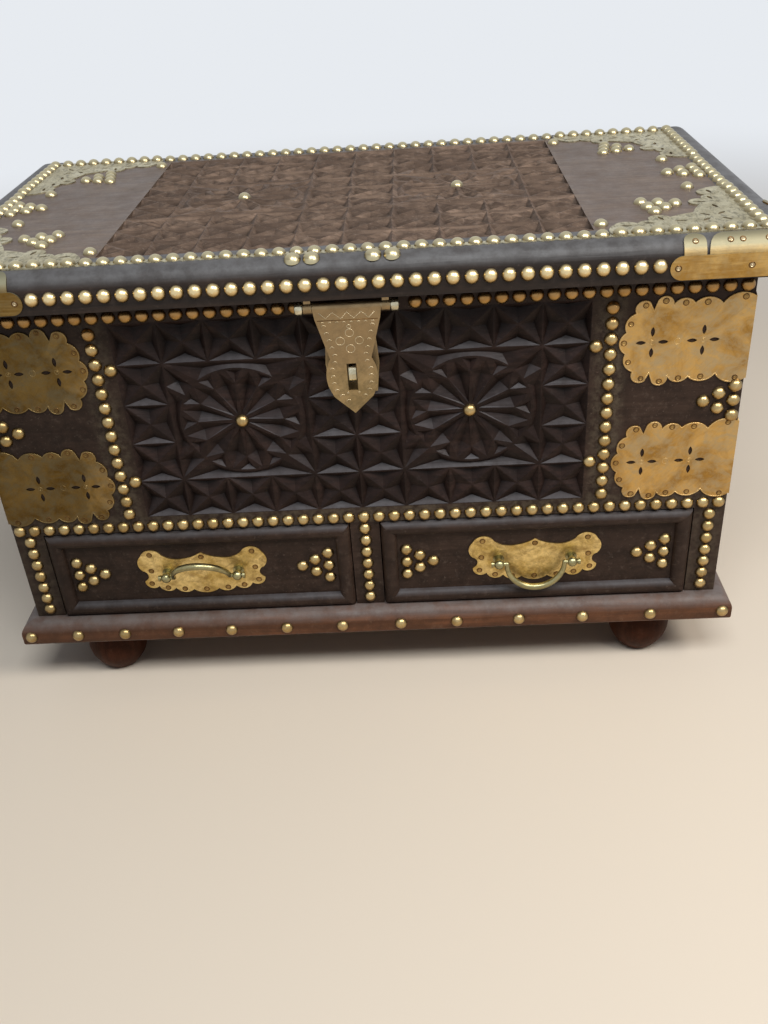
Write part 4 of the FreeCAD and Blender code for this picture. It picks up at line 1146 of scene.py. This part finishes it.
def make_strap_work():
    """Nails in the straps, along the front and over the lid's rounded edge, and a ring punched round each.

    The side legs have none on their flat faces, which are the widest part of the model.
    """
    nails, rings = bmesh.new(), bmesh.new()
    low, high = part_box("lid_strap_right")
    middle_z = low.z + strap_height / 2 * MM
    lean = math.acos((lid_round - strap_top_nail_depth) / lid_round)
    curve = (lid_round + strap_sheet) * MM
    for side in (-1, 1):
        over = Vector((side, 0, 0))
        legs = (
            (Vector((side * (high.x - strap_length * MM), low.y, 0)), over, Vector((0, -1, 0))),
            (Vector((side * high.x, low.y + strap_length * MM, 0)), Vector((0, -1, 0)), over),
        )
        flat = Face(legs[0][0] + Vector((0, 0, middle_z)), over, (0, 0, 1), legs[0][2])
        for place in strap_front_nails:
            add_ringed_nail(nails, rings, flat, (place, 0), *strap_front_nail)
        for nose, along, out in legs:
            tilted = out * math.cos(lean) + Vector((0, 0, math.sin(lean)))
            rising = Vector((0, 0, math.cos(lean))) - out * math.sin(lean)
            spot = nose + Vector((0, 0, lid_top - lid_round * MM)) + (tilted - out) * curve
            bent = Face(spot, along, rising, tilted)
            for place in strap_top_nails:
                add_ringed_nail(nails, rings, bent, (place, 0), *strap_top_nail)
    add_piece("strap_nails", nails, "mark_brass", "lid", False)
    add_piece("strap_nail_rings", rings, "nail_brass", "lid")


# The hasp's face: its lean in degrees, and its border as shares of its drop and of its half width
hasp_lean = 4.6
hasp_drop = 73.3
hasp_half = 20.9
barrel_radius = 3.6
hasp_edge_shares = [(0.087, 0.96), (0.458, 0.62), (0.56, 0.755), (0.735, 0.735), (0.83, 0.6), (1.0, 0.0)]

# Its work, below the bar's middle and across from its own
hasp_seed = 9
hasp_line_drop = 7.4
hasp_line_half = 18.6
hasp_line_bead = (0.3, 0.1)
zigzag_peaks = 9
zigzag_half = 17.2
zigzag_rises = (5.2, 1.1)
zigzag_play = (0.4, 0.3)
zigzag_bead = (0.26, 0.14)
scallop_count = 8
scallop_start = -15.4
scallop_pitch = 4.4
scallop_drop = 2.0
scallop_radius = 0.95
scallop_turns = (20, 160)
scallop_bead = (0.26, 0.18)
# Across, below and radius
hasp_rings = [(0.5, 16.2, 2.6), (-5.6, 21.6, 2.7), (6.2, 21.6, 2.5), (0.4, 27.0, 2.7), (0.4, 11.9, 1.2)]
hasp_ring_steps = 18
hasp_ring_bead = (0.28, 0.17)
crescent_inset = 3.6
crescent_pitch = 5.2
crescent_radius = 1.45
crescent_turns = (10, 170)
crescent_play = 0.25
crescent_bead = (0.3, 0.2)
crescent_turn_share = 0.5
mark_steps = 8
hasp_dot_place = (3.6, -58.0)
hasp_dot_radius = 0.75


def hasp_face():
    """The hasp's face, which leans back as it hangs."""
    low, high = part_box("hasp_bar")
    pivot = (low + high) / 2
    lean = math.radians(hasp_lean)
    down = Vector((0, math.sin(lean), -math.cos(lean)))
    out = Vector((0, -math.cos(lean), -math.sin(lean)))
    return Face(pivot + out * barrel_radius * MM, (1, 0, 0), -down, out)


def crescent_places():
    """Places along the hasp's border, one side, at equal steps, each with its direction."""
    border = [Vector((across * hasp_half, -down * hasp_drop)) for down, across in hasp_edge_shares]
    border = inset([Vector((0, 0))] + list(reversed(border)), crescent_inset)[1:]
    places = []
    left = 0.0
    for first, second in zip(border, border[1:]):
        reach = (second - first).length
        while left < reach:
            places.append((first.lerp(second, left / reach), (second - first).normalized()))
            left += crescent_pitch
        left -= reach
    return [place for place in places if place[0].y < -hasp_line_drop - scallop_drop]


def make_hasp_work():
    """A zigzag and a line under the bar, rings, and crescents along the border."""
    marks, line = bmesh.new(), bmesh.new()
    face = hasp_face()
    chance = random.Random(hasp_seed)
    zigzag = []
    for i in range(zigzag_peaks):
        x = zigzag_half * (2 * i / (zigzag_peaks - 1) - 1) + chance.uniform(-zigzag_play[0], zigzag_play[0])
        y = zigzag_rises[i % 2] - hasp_line_drop + chance.uniform(-zigzag_play[1], zigzag_play[1])
        zigzag.append((x, y))
    add_bead(marks, face, zigzag, zigzag_bead)
    add_bead(line, face, [(hasp_line_half * i, -hasp_line_drop) for i in (-1, 0, 1)], hasp_line_bead)
    for i in range(scallop_count):
        place = (scallop_start + scallop_pitch * i, -hasp_line_drop - scallop_drop)
        add_bead(marks, face, ring_path(place, scallop_radius, *scallop_turns, mark_steps), scallop_bead)
    for x, drop, radius in hasp_rings:
        add_ring(marks, face, (x, -drop), radius, hasp_ring_bead, hasp_ring_steps)
    for side in (-1, 1):
        # The one at the tip lies on both borders, and is punched once
        for place, along in crescent_places()[1 if side > 0 else 0:]:
            turn = math.degrees(math.atan2(along.x, along.y)) * -side * crescent_turn_share
            spot = (side * place.x, place.y + chance.uniform(-crescent_play, crescent_play))
            start, end = (degrees + turn for degrees in crescent_turns)
            add_bead(marks, face, ring_path(spot, crescent_radius, start, end, mark_steps), crescent_bead)
        add_nail(marks, face, (side * hasp_dot_place[0], hasp_dot_place[1]), hasp_dot_radius)
    add_piece("hasp_marks", marks, "mark_brass", "hasp")
    add_piece("hasp_line", line, "nail_brass", "hasp")


# The toothed strip under the row of studs along the lid's front edge
strip_half_length = 174.0
strip_pitch = 2.66
strip_front = 5.3
strip_tooth = 1.5
strip_play = 0.2
strip_back = 1.0
strip_heights = (-0.05, 0.35, 0.35, -0.05)
strip_seed = 3
row_inset = 17.0


def make_lid_strip():
    """A thin brass strip whose toothed edge shows in front of the studs."""
    low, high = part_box("lid_moulding_front")
    face = Face((0, low.y + row_inset * MM, high.z), (1, 0, 0), (0, 1, 0), (0, 0, 1))
    mesh = bmesh.new()
    chance = random.Random(strip_seed)
    columns = []
    for i in range(int(2 * strip_half_length / strip_pitch) + 1):
        x = -strip_half_length + i * strip_pitch
        front = (strip_tooth if i % 2 else 0) - strip_front - chance.uniform(-strip_play, strip_play)
        corners = zip((front, front, strip_back, strip_back), strip_heights)
        columns.append([mesh.verts.new(face.at(x, y, height)) for y, height in corners])
    skin(mesh, columns)
    add_piece("lid_toothed_strip", mesh, "pale_brass", "lid", False)


def main():
    make_camera()
    make_floor()
    for lamp in lamps:
        make_lamp(*lamp)
    make_world()
    dress_nodes()
    make_front_carving()
    make_lid_carving()
    make_corner_plate_work()
    make_handle_plate_work()
    make_strap_work()
    make_hasp_work()
    make_lid_strip()


main()
